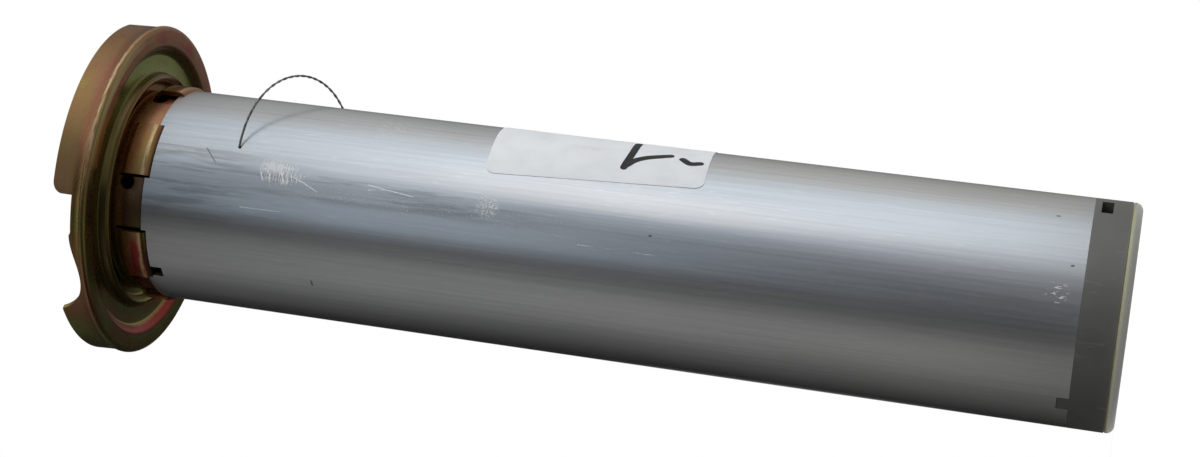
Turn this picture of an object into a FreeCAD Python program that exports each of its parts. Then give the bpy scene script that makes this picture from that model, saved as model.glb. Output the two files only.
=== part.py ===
import FreeCAD
import Part
import math
import os

from FreeCAD import Vector

# Dip tube fuel level sender for the top of a tank, in millimetres.
# The frame is the sender's own: the tube hangs down -Z from a bayonet flange,
# and the origin is the centre of the flange's flat underside, which seals on the tank neck.
# A float slides on a guide rod inside the tube. A bronze bridge on the float joins two
# resistance wires, so the height of the float sets the resistance between two terminals.
# The third terminal is live when the float lies on the reserve contacts at the foot.
# Angles are in degrees about +Z from +X.

# Outer tube, slotted in both ends to place the flange and the cap
tube_radius = 27.0
tube_wall = 1.0
tube_length = 226.9
tube_drop = 8.2
slot_count = 2
top_slot_angle = -138.0
top_slot_width = 3.2
top_slot_depth = 4.3
foot_slot_angle = -140.3
foot_slot_width = 4.0
foot_slot_depth = 2.7

# Bayonet flange, pressed from one steel sheet
# Its radii step outwards from the tube: crest, shoulder, channel, sealing face
crest_gap = 1.2
crest_width = 1.8
shoulder_run = 0.7
channel_width = 4.9
channel_run = 1.6
face_width = 5.5
flange_sheet = 1.2
skirt_height = 8.9
skirt_bend = 1.2
skirt_waist = 0.3
waist_level = 2.8
waist_bend = 7.0
rim_bead = 0.6
channel_depth = 2.0
shoulder_height = 0.2
crest_height = 1.8
crest_bend = 1.3
press_bend = 0.8
disc_level = 2.2

# Each bayonet opening in the skirt: a steep scoop, a ramp and a low window
# They are spaced unevenly, so that the flange goes on in one position only
bayonet_angles = (-124.0, 3.0, 116.0)
scoop_floor = 1.95
scoop_radius = 11.8
ramp_length = 11.7
ramp_top = 4.2
window_floor = 3.8
window_length = 9.5
window_corner = 2.6

# Tube socket: a collar under the flange, its rim cut into outer and inner tabs by turns
socket_sheet = 1.2
socket_bend = 1.6
socket_brim_step = 1.5
tab_count = 6
tab_root = 0.9
tab_slit = 0.5
outer_tab_angle = -67.4
outer_tab_span = 29.4
outer_tab_bulge = 1.9
outer_tab_rise = 1.8
outer_tab_bite = 1.3
outer_tab_bend = 1.8
outer_tab_lap = 0.6
inner_tab_depth = 4.3
inner_tab_lead = 0.7
vent_radius = 1.9
vent_drop = 2.4
vent_offset = 18.9

# End cap
cap_sleeve = 8.3
cap_lip = 2.3
cap_edge = 1.9
cap_groove = 0.3
cap_wall = 2.6
cap_floor = 2.2
cap_spigot = 6.0
cap_fit = 0.1
cap_window_angle = -22.5
cap_window_count = 2
cap_window_width = 7.0
cap_window_height = 2.6
cap_window_drop = 1.5
inlet_count = 6
inlet_radius = 2.0
inlet_inset = 11.0
boss_radius = 7.6
nut_well_radius = 5.6
nut_well_depth = 5.5

# Guide rod, its nut and its clip
rod_radius = 2.0
rod_end_recess = 0.8
nut_flats = 7.0
nut_height = 3.2
washer_radius = 4.4
washer_height = 0.8
washer_split = 0.8
clip_radius = 4.2
clip_height = 0.6
clip_groove = 0.4
clip_opening = 2.4

# Terminal carrier, its gasket and its rivets
carrier_hole_inset = 10.0
carrier_fit = 0.25
carrier_inset = 3.0
carrier_plate = 2.4
carrier_spigot = 7.0
carrier_edge = 0.8
rod_socket = 3.5
gasket_height = 1.0
gasket_step = 0.6
rivet_step = 3.6
rivet_radius = 1.5
rivet_head_radius = 2.6
rivet_head_height = 1.0
rivet_count = 3
rivet_angle = 30.0
shroud_length = 25.4
shroud_width = 14.2
shroud_wall = 1.6
shroud_height = 8.0
shroud_corner = 2.6
key_width = 3.0
key_height = 1.2

# Blade terminals
blade_pitch = 8.0
blade_width = 6.3
blade_sheet = 0.8
blade_height = 6.6
blade_lead = 1.2
blade_hole_radius = 0.85
blade_hole_drop = 3.0
tongue_width = 2.4
tongue_drop = 2.0
link_height = 0.8

# Float, bush and foot plate
float_gap = 3.5
float_height = 30.0
float_edge = 1.5
bush_fit = 0.08
bush_radius = 4.0
bush_flange_radius = 11.0
bush_flange = 1.5
bush_neck_radius = 3.4
bush_neck = 10.0
wire_passage_radius = 1.8
support_radius = 1.25
support_inset = 3.5
support_fit = 0.6
foot_height = 2.5
foot_fit = 0.3
foot_hole_radius = 2.6
foot_hole_inset = 6.0
foot_hole_count = 4

# Resistance wires and bronze contacts
wire_radius = 0.15
bronze_sheet = 0.3
bronze_bend = 0.4
bridge_width = 10.0
finger_width = 3.0
finger_height = 8.6
pad_radius = 0.8
pad_height = 0.25
pad_edge = 0.1
pad_drop = 1.6
contact_gap = 0.1
star_radius = 5.4
star_height = 0.5
star_teeth = 6
leaf_width = 3.0
leaf_rise = 1.4
leaf_run = 1.6
leaf_reach = 17.0
reserve_tip = 5.4
ring_inner_radius = 4.9
ring_outer_radius = 6.1

# Rubber stops
buffer_radius = 4.4
lower_buffer_height = 1.6
upper_buffer_height = 2.0
rest_gap = 0.1
top_gap = 0.3

# Paper label, stuck on at a slight slant
label_length = 53.0
label_width = 34.0
label_height = 0.12
label_corner = 2.4
label_angle = -17.0
label_drop = 111.2
label_slant = 3.4

# Twisted steel wire loop through two small holes in the tube
loop_radius = 0.35
loop_hole_radius = 0.45
loop_near_angle = -59.4
loop_near_drop = 22.8
loop_far_angle = 40.0
loop_far_drop = 37.6
loop_near_pull_x = 22.5
loop_near_pull_y = 2.8
loop_near_pull_z = -0.6
loop_far_pull_x = 20.7
loop_far_pull_y = -9.2
loop_far_pull_z = 3.9
loop_hook = 4.0
loop_knee = 0.4
loop_bends = 5

# Radii worked out from the sizes above
tube_bore = tube_radius - tube_wall
crest_radius = tube_radius + crest_gap
shoulder_radius = crest_radius + crest_width
channel_inner_radius = shoulder_radius + shoulder_run
channel_outer_radius = channel_inner_radius + channel_width
face_inner_radius = channel_outer_radius + channel_run
flange_radius = face_inner_radius + face_width
carrier_radius = tube_radius - carrier_inset
carrier_hole_radius = tube_radius - carrier_hole_inset
socket_brim_radius = carrier_hole_radius + socket_brim_step
gasket_inner_radius = carrier_hole_radius + gasket_step
rivet_circle = carrier_hole_radius + rivet_step
support_offset = carrier_hole_radius - support_inset
outer_tab_radius = tube_bore + outer_tab_bulge
outer_tab_foot_radius = tube_bore - outer_tab_lap
float_radius = tube_bore - float_gap
foot_hole_circle = tube_bore - foot_hole_inset
inlet_circle = tube_radius - inlet_inset
beyond = 2 * tube_radius

# Levels worked out from the sizes above
tube_top = -tube_drop
tube_foot = tube_top - tube_length
sleeve_foot = tube_foot - cap_sleeve
cap_foot = sleeve_foot - cap_lip
cap_bore = tube_radius - cap_wall
spigot_top = tube_foot + cap_spigot
nut_seat = cap_foot + nut_well_depth
foot_top = spigot_top + foot_height
clip_seat = foot_top + bronze_sheet
buffer_seat = clip_seat + clip_height
bush_foot = buffer_seat + lower_buffer_height + rest_gap
float_foot = bush_foot + bush_flange
float_top = float_foot + float_height
bridge_top = float_top + bronze_sheet
bush_top = bridge_top + bush_neck
disc_top = disc_level + flange_sheet
carrier_seat = disc_top + gasket_height
carrier_top = carrier_seat + carrier_plate
carrier_foot = disc_top - carrier_spigot
rod_top = carrier_foot + rod_socket
buffer_foot = carrier_foot - upper_buffer_height
outer_tab_foot = tube_top - outer_tab_bite
inner_tab_foot = tube_top - inner_tab_depth
wire_top = carrier_foot - tongue_drop / 2
wire_foot = clip_seat + leaf_rise
finger_face = blade_pitch - wire_radius - contact_gap - pad_height


def rounded_wire(corners):
    """Closed wire in the XZ plane from (x, z, corner radius) points."""
    count = len(corners)
    bends = []
    for i, (x, z, radius) in enumerate(corners):
        here = Vector(x, 0, z)
        before = Vector(corners[i - 1][0], 0, corners[i - 1][1]) - here
        after = Vector(corners[(i + 1) % count][0], 0, corners[(i + 1) % count][1]) - here
        before.normalize()
        after.normalize()
        half = math.acos(max(-1.0, min(1.0, before.dot(after)))) / 2
        if radius <= 0 or half > math.radians(89.5):
            bends.append((here, None, here))
            continue
        along = radius / math.tan(half)
        towards = (before + after).normalize()
        middle = here + towards * (radius / math.sin(half) - radius)
        bends.append((here + before * along, middle, here + after * along))
    edges = []
    for i, (start, middle, end) in enumerate(bends):
        if middle is not None:
            edges.append(Part.Arc(start, middle, end).toShape())
        following = bends[(i + 1) % count][0]
        if (following - end).Length > 1e-6:
            edges.append(Part.LineSegment(end, following).toShape())
    return Part.Wire(edges)


def bent_sheet(path, thickness):
    """Section of a bent sheet. The path is one skin, and the other lies on its right."""
    points = [Vector(x, 0, z) for x, z, bend in path]
    other = []
    for i, (x, z, bend) in enumerate(path):
        sides = []
        if i > 0:
            sides.append((points[i] - points[i - 1]).normalize())
        if i < len(path) - 1:
            sides.append((points[i + 1] - points[i]).normalize())
        first = Vector(sides[0].z, 0, -sides[0].x)
        last = Vector(sides[-1].z, 0, -sides[-1].x)
        mitre = (first + last).normalize()
        moved = points[i] + mitre * (thickness / mitre.dot(first))
        turns_right = sides[0].x * sides[-1].z < sides[0].z * sides[-1].x
        other_bend = bend - thickness if turns_right else bend + thickness
        other.append((moved.x, moved.z, other_bend if bend > 0 else 0))
    return list(path) + other[::-1]


def revolved(corners, span=360.0, start=0.0):
    """Solid turned about Z from a section in the XZ plane."""
    face = Part.Face(rounded_wire(corners))
    face.rotate(Vector(0, 0, 0), Vector(0, 0, 1), start)
    return face.revolve(Vector(0, 0, 0), Vector(0, 0, 1), span)


def plate(corners, low, high):
    """Plate with its section in the XZ plane, between two Y values."""
    face = Part.Face(rounded_wire(corners))
    face.translate(Vector(0, low, 0))
    return face.extrude(Vector(0, high - low, 0))


def cylinder(radius, low, high, x=0.0, y=0.0):
    """Upright cylinder between two levels."""
    return Part.makeCylinder(radius, high - low, Vector(x, y, low))


def ring(inner, outer, low, high):
    """Upright ring between two levels."""
    return cylinder(outer, low, high).cut(cylinder(inner, low - 1, high + 1))


def box(x_low, x_high, y_low, y_high, z_low, z_high):
    """Block between two corners."""
    return Part.makeBox(x_high - x_low, y_high - y_low, z_high - z_low, Vector(x_low, y_low, z_low))


def turned(shape, angle):
    """Copy of a shape turned about Z."""
    copy = shape.copy()
    copy.rotate(Vector(0, 0, 0), Vector(0, 0, 1), angle)
    return copy


def around(shape, count, start=0.0):
    """Copies of a shape at equal angles about Z."""
    return [turned(shape, start + 360.0 * i / count) for i in range(count)]


def without(shape, cutters):
    """Shape with several cutters taken away."""
    for cutter in cutters:
        shape = shape.cut(cutter)
    return shape


def at_angle(radius, angle, level):
    """Point at a radius and an angle about Z."""
    return Vector(radius * math.cos(math.radians(angle)), radius * math.sin(math.radians(angle)), level)


def rivet_holes():
    """Cutters for the three rivets."""
    hole = cylinder(rivet_radius, carrier_foot, carrier_top + 1, rivet_circle)
    return around(hole, rivet_count, rivet_angle)


def passages():
    """Cutters for the two resistance wires and the support rod, through the float."""
    holes = [cylinder(wire_passage_radius, bush_foot - 1, bush_top, side * blade_pitch) for side in (-1, 1)]
    return holes + [cylinder(support_radius + support_fit, bush_foot - 1, bush_top, 0, support_offset)]


def skirt_opening():
    """Cutter for one bayonet opening, with its lowest point at angle zero."""
    over = skirt_height + skirt_bend
    centre = scoop_floor + scoop_radius
    edge = math.sqrt(scoop_radius ** 2 - (centre - skirt_height) ** 2)
    half = math.asin(edge / scoop_radius) / 2
    window_end = ramp_length + window_length
    swing = window_corner * (1 - math.sqrt(0.5))
    rise = ramp_top - scoop_floor
    mouth = Vector(-edge, 0, skirt_height)
    belly = Vector(-scoop_radius * math.sin(half), 0, centre - scoop_radius * math.cos(half))
    floor = Vector(0, 0, scoop_floor)
    low = Vector(0.44 * ramp_length, 0, scoop_floor + 0.24 * rise)
    high = Vector(0.72 * ramp_length, 0, scoop_floor + 0.72 * rise)
    crest = Vector(ramp_length, 0, ramp_top)
    window = Vector(ramp_length + press_bend, 0, window_floor)
    inner_corner = Vector(window_end, 0, window_floor)
    corner_start = Vector(window_end, 0, skirt_height - window_corner)
    corner_middle = Vector(window_end + swing, 0, skirt_height - swing)
    corner_end = Vector(window_end + window_corner, 0, skirt_height)
    ramp = Part.BSplineCurve()
    ramp.interpolate([floor, low, high, crest])
    window_side = [crest, window, inner_corner, corner_start]
    above = [corner_end, Vector(corner_end.x, 0, over), Vector(-edge, 0, over), mouth]
    edges = [Part.Arc(mouth, belly, floor).toShape(), ramp.toShape()]
    edges += [Part.LineSegment(a, b).toShape() for a, b in zip(window_side, window_side[1:])]
    edges += [Part.Arc(corner_start, corner_middle, corner_end).toShape()]
    edges += [Part.LineSegment(a, b).toShape() for a, b in zip(above, above[1:])]
    face = Part.Face(Part.Wire(edges))
    face.rotate(Vector(0, 0, 0), Vector(0, 0, 1), 90)
    face.translate(Vector(flange_radius / 2, 0, 0))
    band = ring(flange_radius - 2 * flange_sheet, flange_radius + 1, 0, over)
    return face.extrude(Vector(flange_radius, 0, 0)).common(band)


def bayonet_flange():
    """Skirt, flat face, gasket channel, raised ring and centre disc in one pressed sheet."""
    flange = revolved(bent_sheet([
        (flange_radius, skirt_height, 0),
        (flange_radius - skirt_waist, waist_level, waist_bend),
        (flange_radius + rim_bead, 0, skirt_bend),
        (face_inner_radius, 0, press_bend + flange_sheet),
        (channel_outer_radius, channel_depth, press_bend),
        (channel_inner_radius, channel_depth, press_bend),
        (shoulder_radius, -shoulder_height, press_bend + flange_sheet),
        (crest_radius, -crest_height, crest_bend),
        (crest_radius, disc_level, press_bend),
        (carrier_hole_radius, disc_level, 0),
    ], flange_sheet))
    opening = skirt_opening()
    openings = [turned(opening, angle) for angle in bayonet_angles]
    return without(flange, openings + rivet_holes())


def tube_socket():
    """Collar whose outer tabs stop the tube's edge and whose inner tabs grip its bore."""
    pitch = 360.0 / tab_count
    slit = math.degrees(tab_slit / tube_bore)
    inner_span = pitch - outer_tab_span - 2 * slit
    inner_radius = tube_bore - socket_sheet
    socket = revolved(bent_sheet([
        (socket_brim_radius, disc_level, 0),
        (tube_bore, disc_level, socket_bend),
        (tube_bore, -tab_root, 0),
    ], socket_sheet))
    outer_tab = revolved(bent_sheet([
        (tube_bore, -tab_root + socket_sheet, 0),
        (tube_bore, -tab_root, press_bend),
        (outer_tab_radius, -tab_root - outer_tab_rise, press_bend + socket_sheet),
        (outer_tab_radius, outer_tab_foot, outer_tab_bend),
        (outer_tab_foot_radius, outer_tab_foot, 0),
    ], socket_sheet), outer_tab_span, -outer_tab_span / 2)
    inner_tab = revolved([
        (inner_radius, -tab_root + socket_sheet, 0),
        (inner_radius, inner_tab_foot, 0),
        (tube_bore - inner_tab_lead, inner_tab_foot, 0),
        (tube_bore, inner_tab_foot + 2 * inner_tab_lead, 0),
        (tube_bore, -tab_root + socket_sheet, 0),
    ], inner_span, (pitch - inner_span) / 2)
    for tab in around(outer_tab, tab_count, outer_tab_angle) + around(inner_tab, tab_count, outer_tab_angle):
        socket = socket.fuse(tab)
    vent_level = Vector(0, 0, -tab_root - vent_drop)
    vent = Part.makeCylinder(vent_radius, beyond, vent_level, Vector(1, 0, 0))
    vents = around(vent, tab_count, outer_tab_angle - vent_offset)
    return without(socket, vents + rivet_holes()).removeSplitter()


def outer_tube():
    """Drawn tube with stepped top edge, two slots in each end and the wire loop's holes."""
    step_span = outer_tab_span + 2 * math.degrees(tab_slit / tube_bore)
    step = revolved([
        (tube_bore - 1, outer_tab_foot, 0),
        (tube_radius + 1, outer_tab_foot, 0),
        (tube_radius + 1, tube_top + 1, 0),
        (tube_bore - 1, tube_top + 1, 0),
    ], step_span, -step_span / 2)
    half = top_slot_width / 2
    top_slot = box(0, beyond, -half, half, tube_top - top_slot_depth, tube_top + 1)
    half = foot_slot_width / 2
    foot_slot = box(0, beyond, -half, half, tube_foot - 1, tube_foot + foot_slot_depth)
    cutters = around(step, tab_count, outer_tab_angle)
    cutters += around(top_slot, slot_count, top_slot_angle)
    cutters += around(foot_slot, slot_count, foot_slot_angle)
    for angle, drop in ((loop_near_angle, loop_near_drop), (loop_far_angle, loop_far_drop)):
        start = at_angle(tube_bore - 1, angle, tube_top - drop)
        cutters.append(Part.makeCylinder(loop_hole_radius, tube_wall + 2, start, at_angle(1, angle, 0)))
    return without(ring(tube_bore, tube_radius, tube_foot, tube_top), cutters)


def end_cap():
    """Plastic cap: spigot in the tube, flush sleeve, lip, inlets and the boss for the rod."""
    cap = revolved([
        (cap_bore, spigot_top, 0),
        (tube_bore - cap_fit, spigot_top, 0),
        (tube_bore - cap_fit, tube_foot, 0),
        (tube_radius, tube_foot, 0),
        (tube_radius, sleeve_foot, 0),
        (tube_radius - cap_groove, sleeve_foot - cap_groove / 2, 0),
        (tube_radius, sleeve_foot - cap_groove, 0),
        (tube_radius, cap_foot, cap_edge),
        (nut_well_radius, cap_foot, 0),
        (nut_well_radius, nut_seat, 0),
        (rod_radius, nut_seat, 0),
        (rod_radius, spigot_top, 0),
        (boss_radius, spigot_top, 0),
        (boss_radius, cap_foot + cap_floor, 0),
        (cap_bore, cap_foot + cap_floor, 0),
    ])
    half = foot_slot_width / 2 - cap_fit
    key = box(0, beyond, -half, half, tube_foot - 1, tube_foot + foot_slot_depth - cap_fit)
    key = key.common(ring(cap_bore, tube_radius, tube_foot - 1, spigot_top))
    for lug in around(key, slot_count, foot_slot_angle):
        cap = cap.fuse(lug)
    half = cap_window_width / 2
    window_top = tube_foot - cap_window_drop
    window = box(boss_radius + 1, beyond, -half, half, window_top - cap_window_height, window_top)
    inlet = cylinder(inlet_radius, cap_foot - 1, cap_foot + cap_floor + 1, inlet_circle)
    return without(cap, around(window, cap_window_count, cap_window_angle) + around(inlet, inlet_count))


def paper_label():
    """Label wrapped on the tube."""
    middle = tube_top - label_drop
    half_length = label_length / 2
    half_width = tube_radius * math.sin(label_width / 2 / tube_radius)
    label = plate([
        (-half_width, -half_length, label_corner),
        (half_width, -half_length, label_corner),
        (half_width, half_length, label_corner),
        (-half_width, half_length, label_corner),
    ], 0, beyond)
    label.rotate(Vector(0, 0, 0), Vector(0, 1, 0), -label_slant)
    label.rotate(Vector(0, 0, 0), Vector(0, 0, 1), -90)
    label.translate(Vector(0, 0, middle))
    skin = ring(tube_radius, tube_radius + label_height, middle - label_length, middle + label_length)
    return turned(label.common(skin), label_angle)


def bent_path(points, bends):
    """Path of straight runs joined by tangent arcs. A bend of 0 takes the largest that its runs allow."""
    edges = []
    start = points[0]
    for i in range(1, len(points) - 1):
        before = points[i - 1] - points[i]
        after = points[i + 1] - points[i]
        shorter = min(before.Length, after.Length)
        before.normalize()
        after.normalize()
        half = math.acos(before.dot(after)) / 2
        radius = bends[i - 1] or 0.45 * shorter * math.tan(half)
        along = radius / math.tan(half)
        middle = points[i] + (before + after).normalize() * (radius / math.sin(half) - radius)
        end = points[i] + after * along
        edges.append(Part.LineSegment(start, points[i] + before * along).toShape())
        edges.append(Part.Arc(points[i] + before * along, middle, end).toShape())
        start = end
    edges.append(Part.LineSegment(start, points[-1]).toShape())
    return Part.Wire(edges)


def wire_loop():
    """Carrying loop: an arched wire whose ends pass through the wall and turn down inside it."""
    near_level = tube_top - loop_near_drop
    far_level = tube_top - loop_far_drop
    inside = tube_bore - loop_radius
    near = at_angle(tube_radius + loop_radius, loop_near_angle, near_level)
    far = at_angle(tube_radius + loop_radius, loop_far_angle, far_level)
    near_pull = Vector(loop_near_pull_x, loop_near_pull_y, loop_near_pull_z)
    far_pull = Vector(loop_far_pull_x, loop_far_pull_y, loop_far_pull_z)
    arch = Part.BezierCurve()
    arch.setPoles([near, near + near_pull, far + far_pull, far])
    corners = []
    for i in range(loop_bends):
        start = arch.value(i / loop_bends)
        across = arch.value((i + 1) / loop_bends) - start
        first = arch.tangent(i / loop_bends)[0]
        last = arch.tangent((i + 1) / loop_bends)[0]
        normal = first.cross(last)
        corners.append(start + first * (across.cross(last).dot(normal) / normal.dot(normal)))
    points = [at_angle(inside, loop_near_angle, near_level - loop_hook)]
    points += [at_angle(inside, loop_near_angle, near_level), near]
    points += corners
    points += [far, at_angle(inside, loop_far_angle, far_level)]
    points += [at_angle(inside, loop_far_angle, far_level - loop_hook)]
    path = bent_path(points, [loop_knee, loop_knee] + [0] * loop_bends + [loop_knee, loop_knee])
    profile = Part.Wire([Part.makeCircle(loop_radius, points[0], Vector(0, 0, 1))])
    return path.makePipeShell([profile], True, False)


def blade(x):
    """Flat tab terminal with a pointed lead, a locking hole and a tongue at its foot."""
    top = carrier_top + blade_height
    half = blade_width / 2
    shape = plate([
        (-tongue_width / 2, carrier_foot - tongue_drop, 0),
        (tongue_width / 2, carrier_foot - tongue_drop, 0),
        (tongue_width / 2, carrier_seat, 0),
        (half, carrier_seat, 0),
        (half, top - blade_lead, 0),
        (half - blade_lead, top, 0),
        (blade_lead - half, top, 0),
        (-half, top - blade_lead, 0),
        (-half, carrier_seat, 0),
        (-tongue_width / 2, carrier_seat, 0),
    ], -blade_sheet / 2, blade_sheet / 2)
    hole = cylinder(blade_hole_radius, -blade_sheet, blade_sheet)
    hole.rotate(Vector(0, 0, 0), Vector(1, 0, 0), 90)
    hole.translate(Vector(0, 0, top - blade_hole_drop))
    shape = turned(shape.cut(hole), 90)
    shape.translate(Vector(x, 0, 0))
    return shape


def side_terminal(x):
    """Blade whose tongue is slotted for the top of its resistance wire."""
    return blade(x).cut(resistance_wire(x))


def warning_terminal():
    """Middle blade, linked inside the carrier to the support rod."""
    half = tongue_width / 2
    link_foot = carrier_seat - link_height
    above = box(-1, 1, -blade_width, blade_width, link_foot, beyond)
    link = box(-half, half, -half, support_offset + half, link_foot, carrier_seat)
    post = box(-half, half, support_offset - half, support_offset + half, rod_top, link_foot)
    return blade(0).common(above).fuse(link).fuse(post).removeSplitter()


def upright_fillet(block, radius):
    """Block with its upright edges rounded."""
    upright = [edge for edge in block.Edges if abs(edge.tangentAt(edge.FirstParameter).z) > 0.9]
    return block.makeFillet(radius, upright)


def terminal_carrier():
    """Moulded plate, spigot and plug shroud, formed round the terminals and the rod ends."""
    carrier = revolved([
        (0, carrier_foot, 0),
        (carrier_hole_radius - carrier_fit, carrier_foot, carrier_edge),
        (carrier_hole_radius - carrier_fit, carrier_seat, 0),
        (carrier_radius, carrier_seat, 0),
        (carrier_radius, carrier_top, carrier_edge),
        (0, carrier_top, 0),
    ])
    half_length = shroud_length / 2
    half_width = shroud_width / 2
    shroud_top = carrier_top + shroud_height
    outside = box(-half_length, half_length, -half_width, half_width, carrier_top - 1, shroud_top)
    outside = upright_fillet(outside, shroud_corner)
    inner_length = half_length - shroud_wall
    inner_width = half_width - shroud_wall
    inside = box(-inner_length, inner_length, -inner_width, inner_width, carrier_top, shroud_top + 1)
    inside = upright_fillet(inside, shroud_corner - shroud_wall)
    key_half = key_width / 2
    key = box(-key_half, key_half, -half_width - key_height, -inner_width, carrier_top - 1, shroud_top)
    moulded_in = [side_terminal(-blade_pitch), side_terminal(blade_pitch), warning_terminal()]
    moulded_in.append(cylinder(rod_radius, carrier_foot - 1, rod_top))
    moulded_in.append(cylinder(support_radius, carrier_foot - 1, rod_top, 0, support_offset))
    return without(carrier.fuse(outside).fuse(key), [inside] + moulded_in + rivet_holes())


def carrier_gasket():
    """Flat seal between the carrier and the flange."""
    return without(ring(gasket_inner_radius, carrier_radius, disc_top, carrier_seat), rivet_holes())


def carrier_rivets():
    """Rivets through the carrier, gasket, flange and socket brim."""
    under = disc_level - socket_sheet
    rivet = revolved([
        (0, under - rivet_head_height, 0),
        (rivet_head_radius, under - rivet_head_height, rivet_head_height / 2),
        (rivet_head_radius, under, 0),
        (rivet_radius, under, 0),
        (rivet_radius, carrier_top, 0),
        (rivet_head_radius, carrier_top, 0),
        (rivet_head_radius, carrier_top + rivet_head_height, rivet_head_height * 0.8),
        (0, carrier_top + rivet_head_height, 0),
    ])
    rivet.translate(Vector(rivet_circle, 0, 0))
    return Part.makeCompound(around(rivet, rivet_count, rivet_angle))


def guide_rod():
    """Rod from the carrier down to the nut under the cap, grooved for its clip."""
    rod = cylinder(rod_radius, cap_foot + rod_end_recess, rod_top)
    return rod.cut(ring(rod_radius - clip_groove, rod_radius + 1, clip_seat, buffer_seat))


def rod_clip():
    """Open clip in the rod's groove."""
    half = clip_opening / 2
    opening = box(0, beyond, -half, half, clip_seat - 1, buffer_seat + 1)
    return ring(rod_radius - clip_groove, clip_radius, clip_seat, buffer_seat).cut(opening)


def rod_washer():
    """Split spring washer in the cap's well."""
    half = washer_split / 2
    split = box(0, beyond, -half, half, cap_foot, nut_seat + 1)
    return ring(rod_radius, washer_radius, nut_seat - washer_height, nut_seat).cut(split)


def rod_nut():
    """Hexagon nut in the cap's well."""
    high = nut_seat - washer_height
    low = high - nut_height
    corner = nut_flats / math.sqrt(3)
    chamfer = (corner - nut_flats / 2) / 2
    hexagon = Part.makePolygon([at_angle(corner, 60 * i, low) for i in range(7)])
    rounding = revolved([
        (rod_radius, low, 0),
        (nut_flats / 2, low, 0),
        (corner, low + chamfer, 0),
        (corner, high - chamfer, 0),
        (nut_flats / 2, high, 0),
        (rod_radius, high, 0),
    ])
    return Part.Face(hexagon).extrude(Vector(0, 0, nut_height)).common(rounding)


def support_rod():
    """Second rod, which takes the reserve circuit down to the foot."""
    return cylinder(support_radius, spigot_top, rod_top, 0, support_offset)


def foot_plate():
    """Insulating plate on the cap's spigot, with fuel holes."""
    hole = cylinder(foot_hole_radius, spigot_top - 1, foot_top + 1, foot_hole_circle)
    holes = around(hole, foot_hole_count, 45.0)
    holes.append(cylinder(support_radius, spigot_top - 1, foot_top + 1, 0, support_offset))
    return without(ring(rod_radius, tube_bore - foot_fit, spigot_top, foot_top), holes)


def float_body():
    """Foam float with passages for the rods and the wires."""
    body = revolved([
        (bush_radius, float_foot, 0),
        (float_radius, float_foot, float_edge),
        (float_radius, float_top, float_edge),
        (bush_radius, float_top, 0),
    ])
    return without(body, passages())


def float_bush():
    """Flanged bush through the float, with a neck that holds the bridge and meets the top stop."""
    bush = revolved([
        (rod_radius + bush_fit, bush_foot, 0),
        (bush_flange_radius, bush_foot, 0),
        (bush_flange_radius, float_foot, 0),
        (bush_radius, float_foot, 0),
        (bush_radius, float_top, 0),
        (bush_neck_radius, float_top, 0),
        (bush_neck_radius, bush_top, 0),
        (rod_radius + bush_fit, bush_top, 0),
    ])
    return without(bush, passages())


def contact_bridge():
    """Bronze strip over the float with a sprung finger up beside each resistance wire."""
    finger_top = bridge_top + finger_height
    bridge = plate(bent_sheet([
        (finger_face, finger_top, 0),
        (finger_face, float_top, bronze_bend + bronze_sheet),
        (-finger_face, float_top, bronze_bend + bronze_sheet),
        (-finger_face, finger_top, 0),
    ], bronze_sheet), -bridge_width / 2, bridge_width / 2)
    finger_foot = bridge_top + bronze_bend
    near = box(-beyond, beyond, -bridge_width, -finger_width / 2, finger_foot, finger_top + 1)
    far = box(-beyond, beyond, finger_width / 2, bridge_width, finger_foot, finger_top + 1)
    return without(bridge, [near, far, cylinder(bush_neck_radius, float_top - 1, bush_top)])


def bridge_pads():
    """Silver contact buttons on the bridge's fingers, beside the wires."""
    pad = revolved([
        (0, 0, 0),
        (pad_radius, 0, 0),
        (pad_radius, pad_height - pad_edge, 0),
        (pad_radius - pad_edge, pad_height, 0),
        (0, pad_height, 0),
    ])
    pad.rotate(Vector(0, 0, 0), Vector(0, 1, 0), 90)
    pad.translate(Vector(finger_face, 0, bridge_top + finger_height - pad_drop))
    return Part.makeCompound(around(pad, 2))


def bridge_clip():
    """Star clip pressed on the bush's neck to hold the bridge down."""
    clip = ring(bush_neck_radius, star_radius, bridge_top, bridge_top + star_height)
    notch = box(0, bush_neck_radius + 1, -0.5, 0.5, bridge_top - 1, bridge_top + star_height + 1)
    return without(clip, around(notch, star_teeth, 180.0 / star_teeth))


def resistance_wire(x):
    """Fine straight wire from a terminal's tongue down to its leaf."""
    return cylinder(wire_radius, wire_foot, wire_top, x)


def sprung_leaf(reach, tip, tip_level):
    """Bronze leaf flat on the foot plate along +X, raised at its inner end."""
    return plate(bent_sheet([
        (tip, tip_level, 0),
        (tip + leaf_run, tip_level, bronze_bend + bronze_sheet),
        (tip + 2 * leaf_run, clip_seat, bronze_bend),
        (reach, clip_seat, 0),
    ], bronze_sheet), -leaf_width / 2, leaf_width / 2)


def wire_leaf(x):
    """Leaf that keeps a resistance wire tight."""
    leaf = sprung_leaf(leaf_reach, blade_pitch - leaf_run / 2, wire_foot)
    return leaf if x > 0 else turned(leaf, 180)


def reserve_leaf():
    """Contact from the support rod to just under the float's reserve ring."""
    leaf = sprung_leaf(support_offset + leaf_width, reserve_tip, bush_foot - bronze_sheet - contact_gap)
    return turned(leaf, 90).cut(cylinder(support_radius, spigot_top, bush_foot, 0, support_offset))


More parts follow.
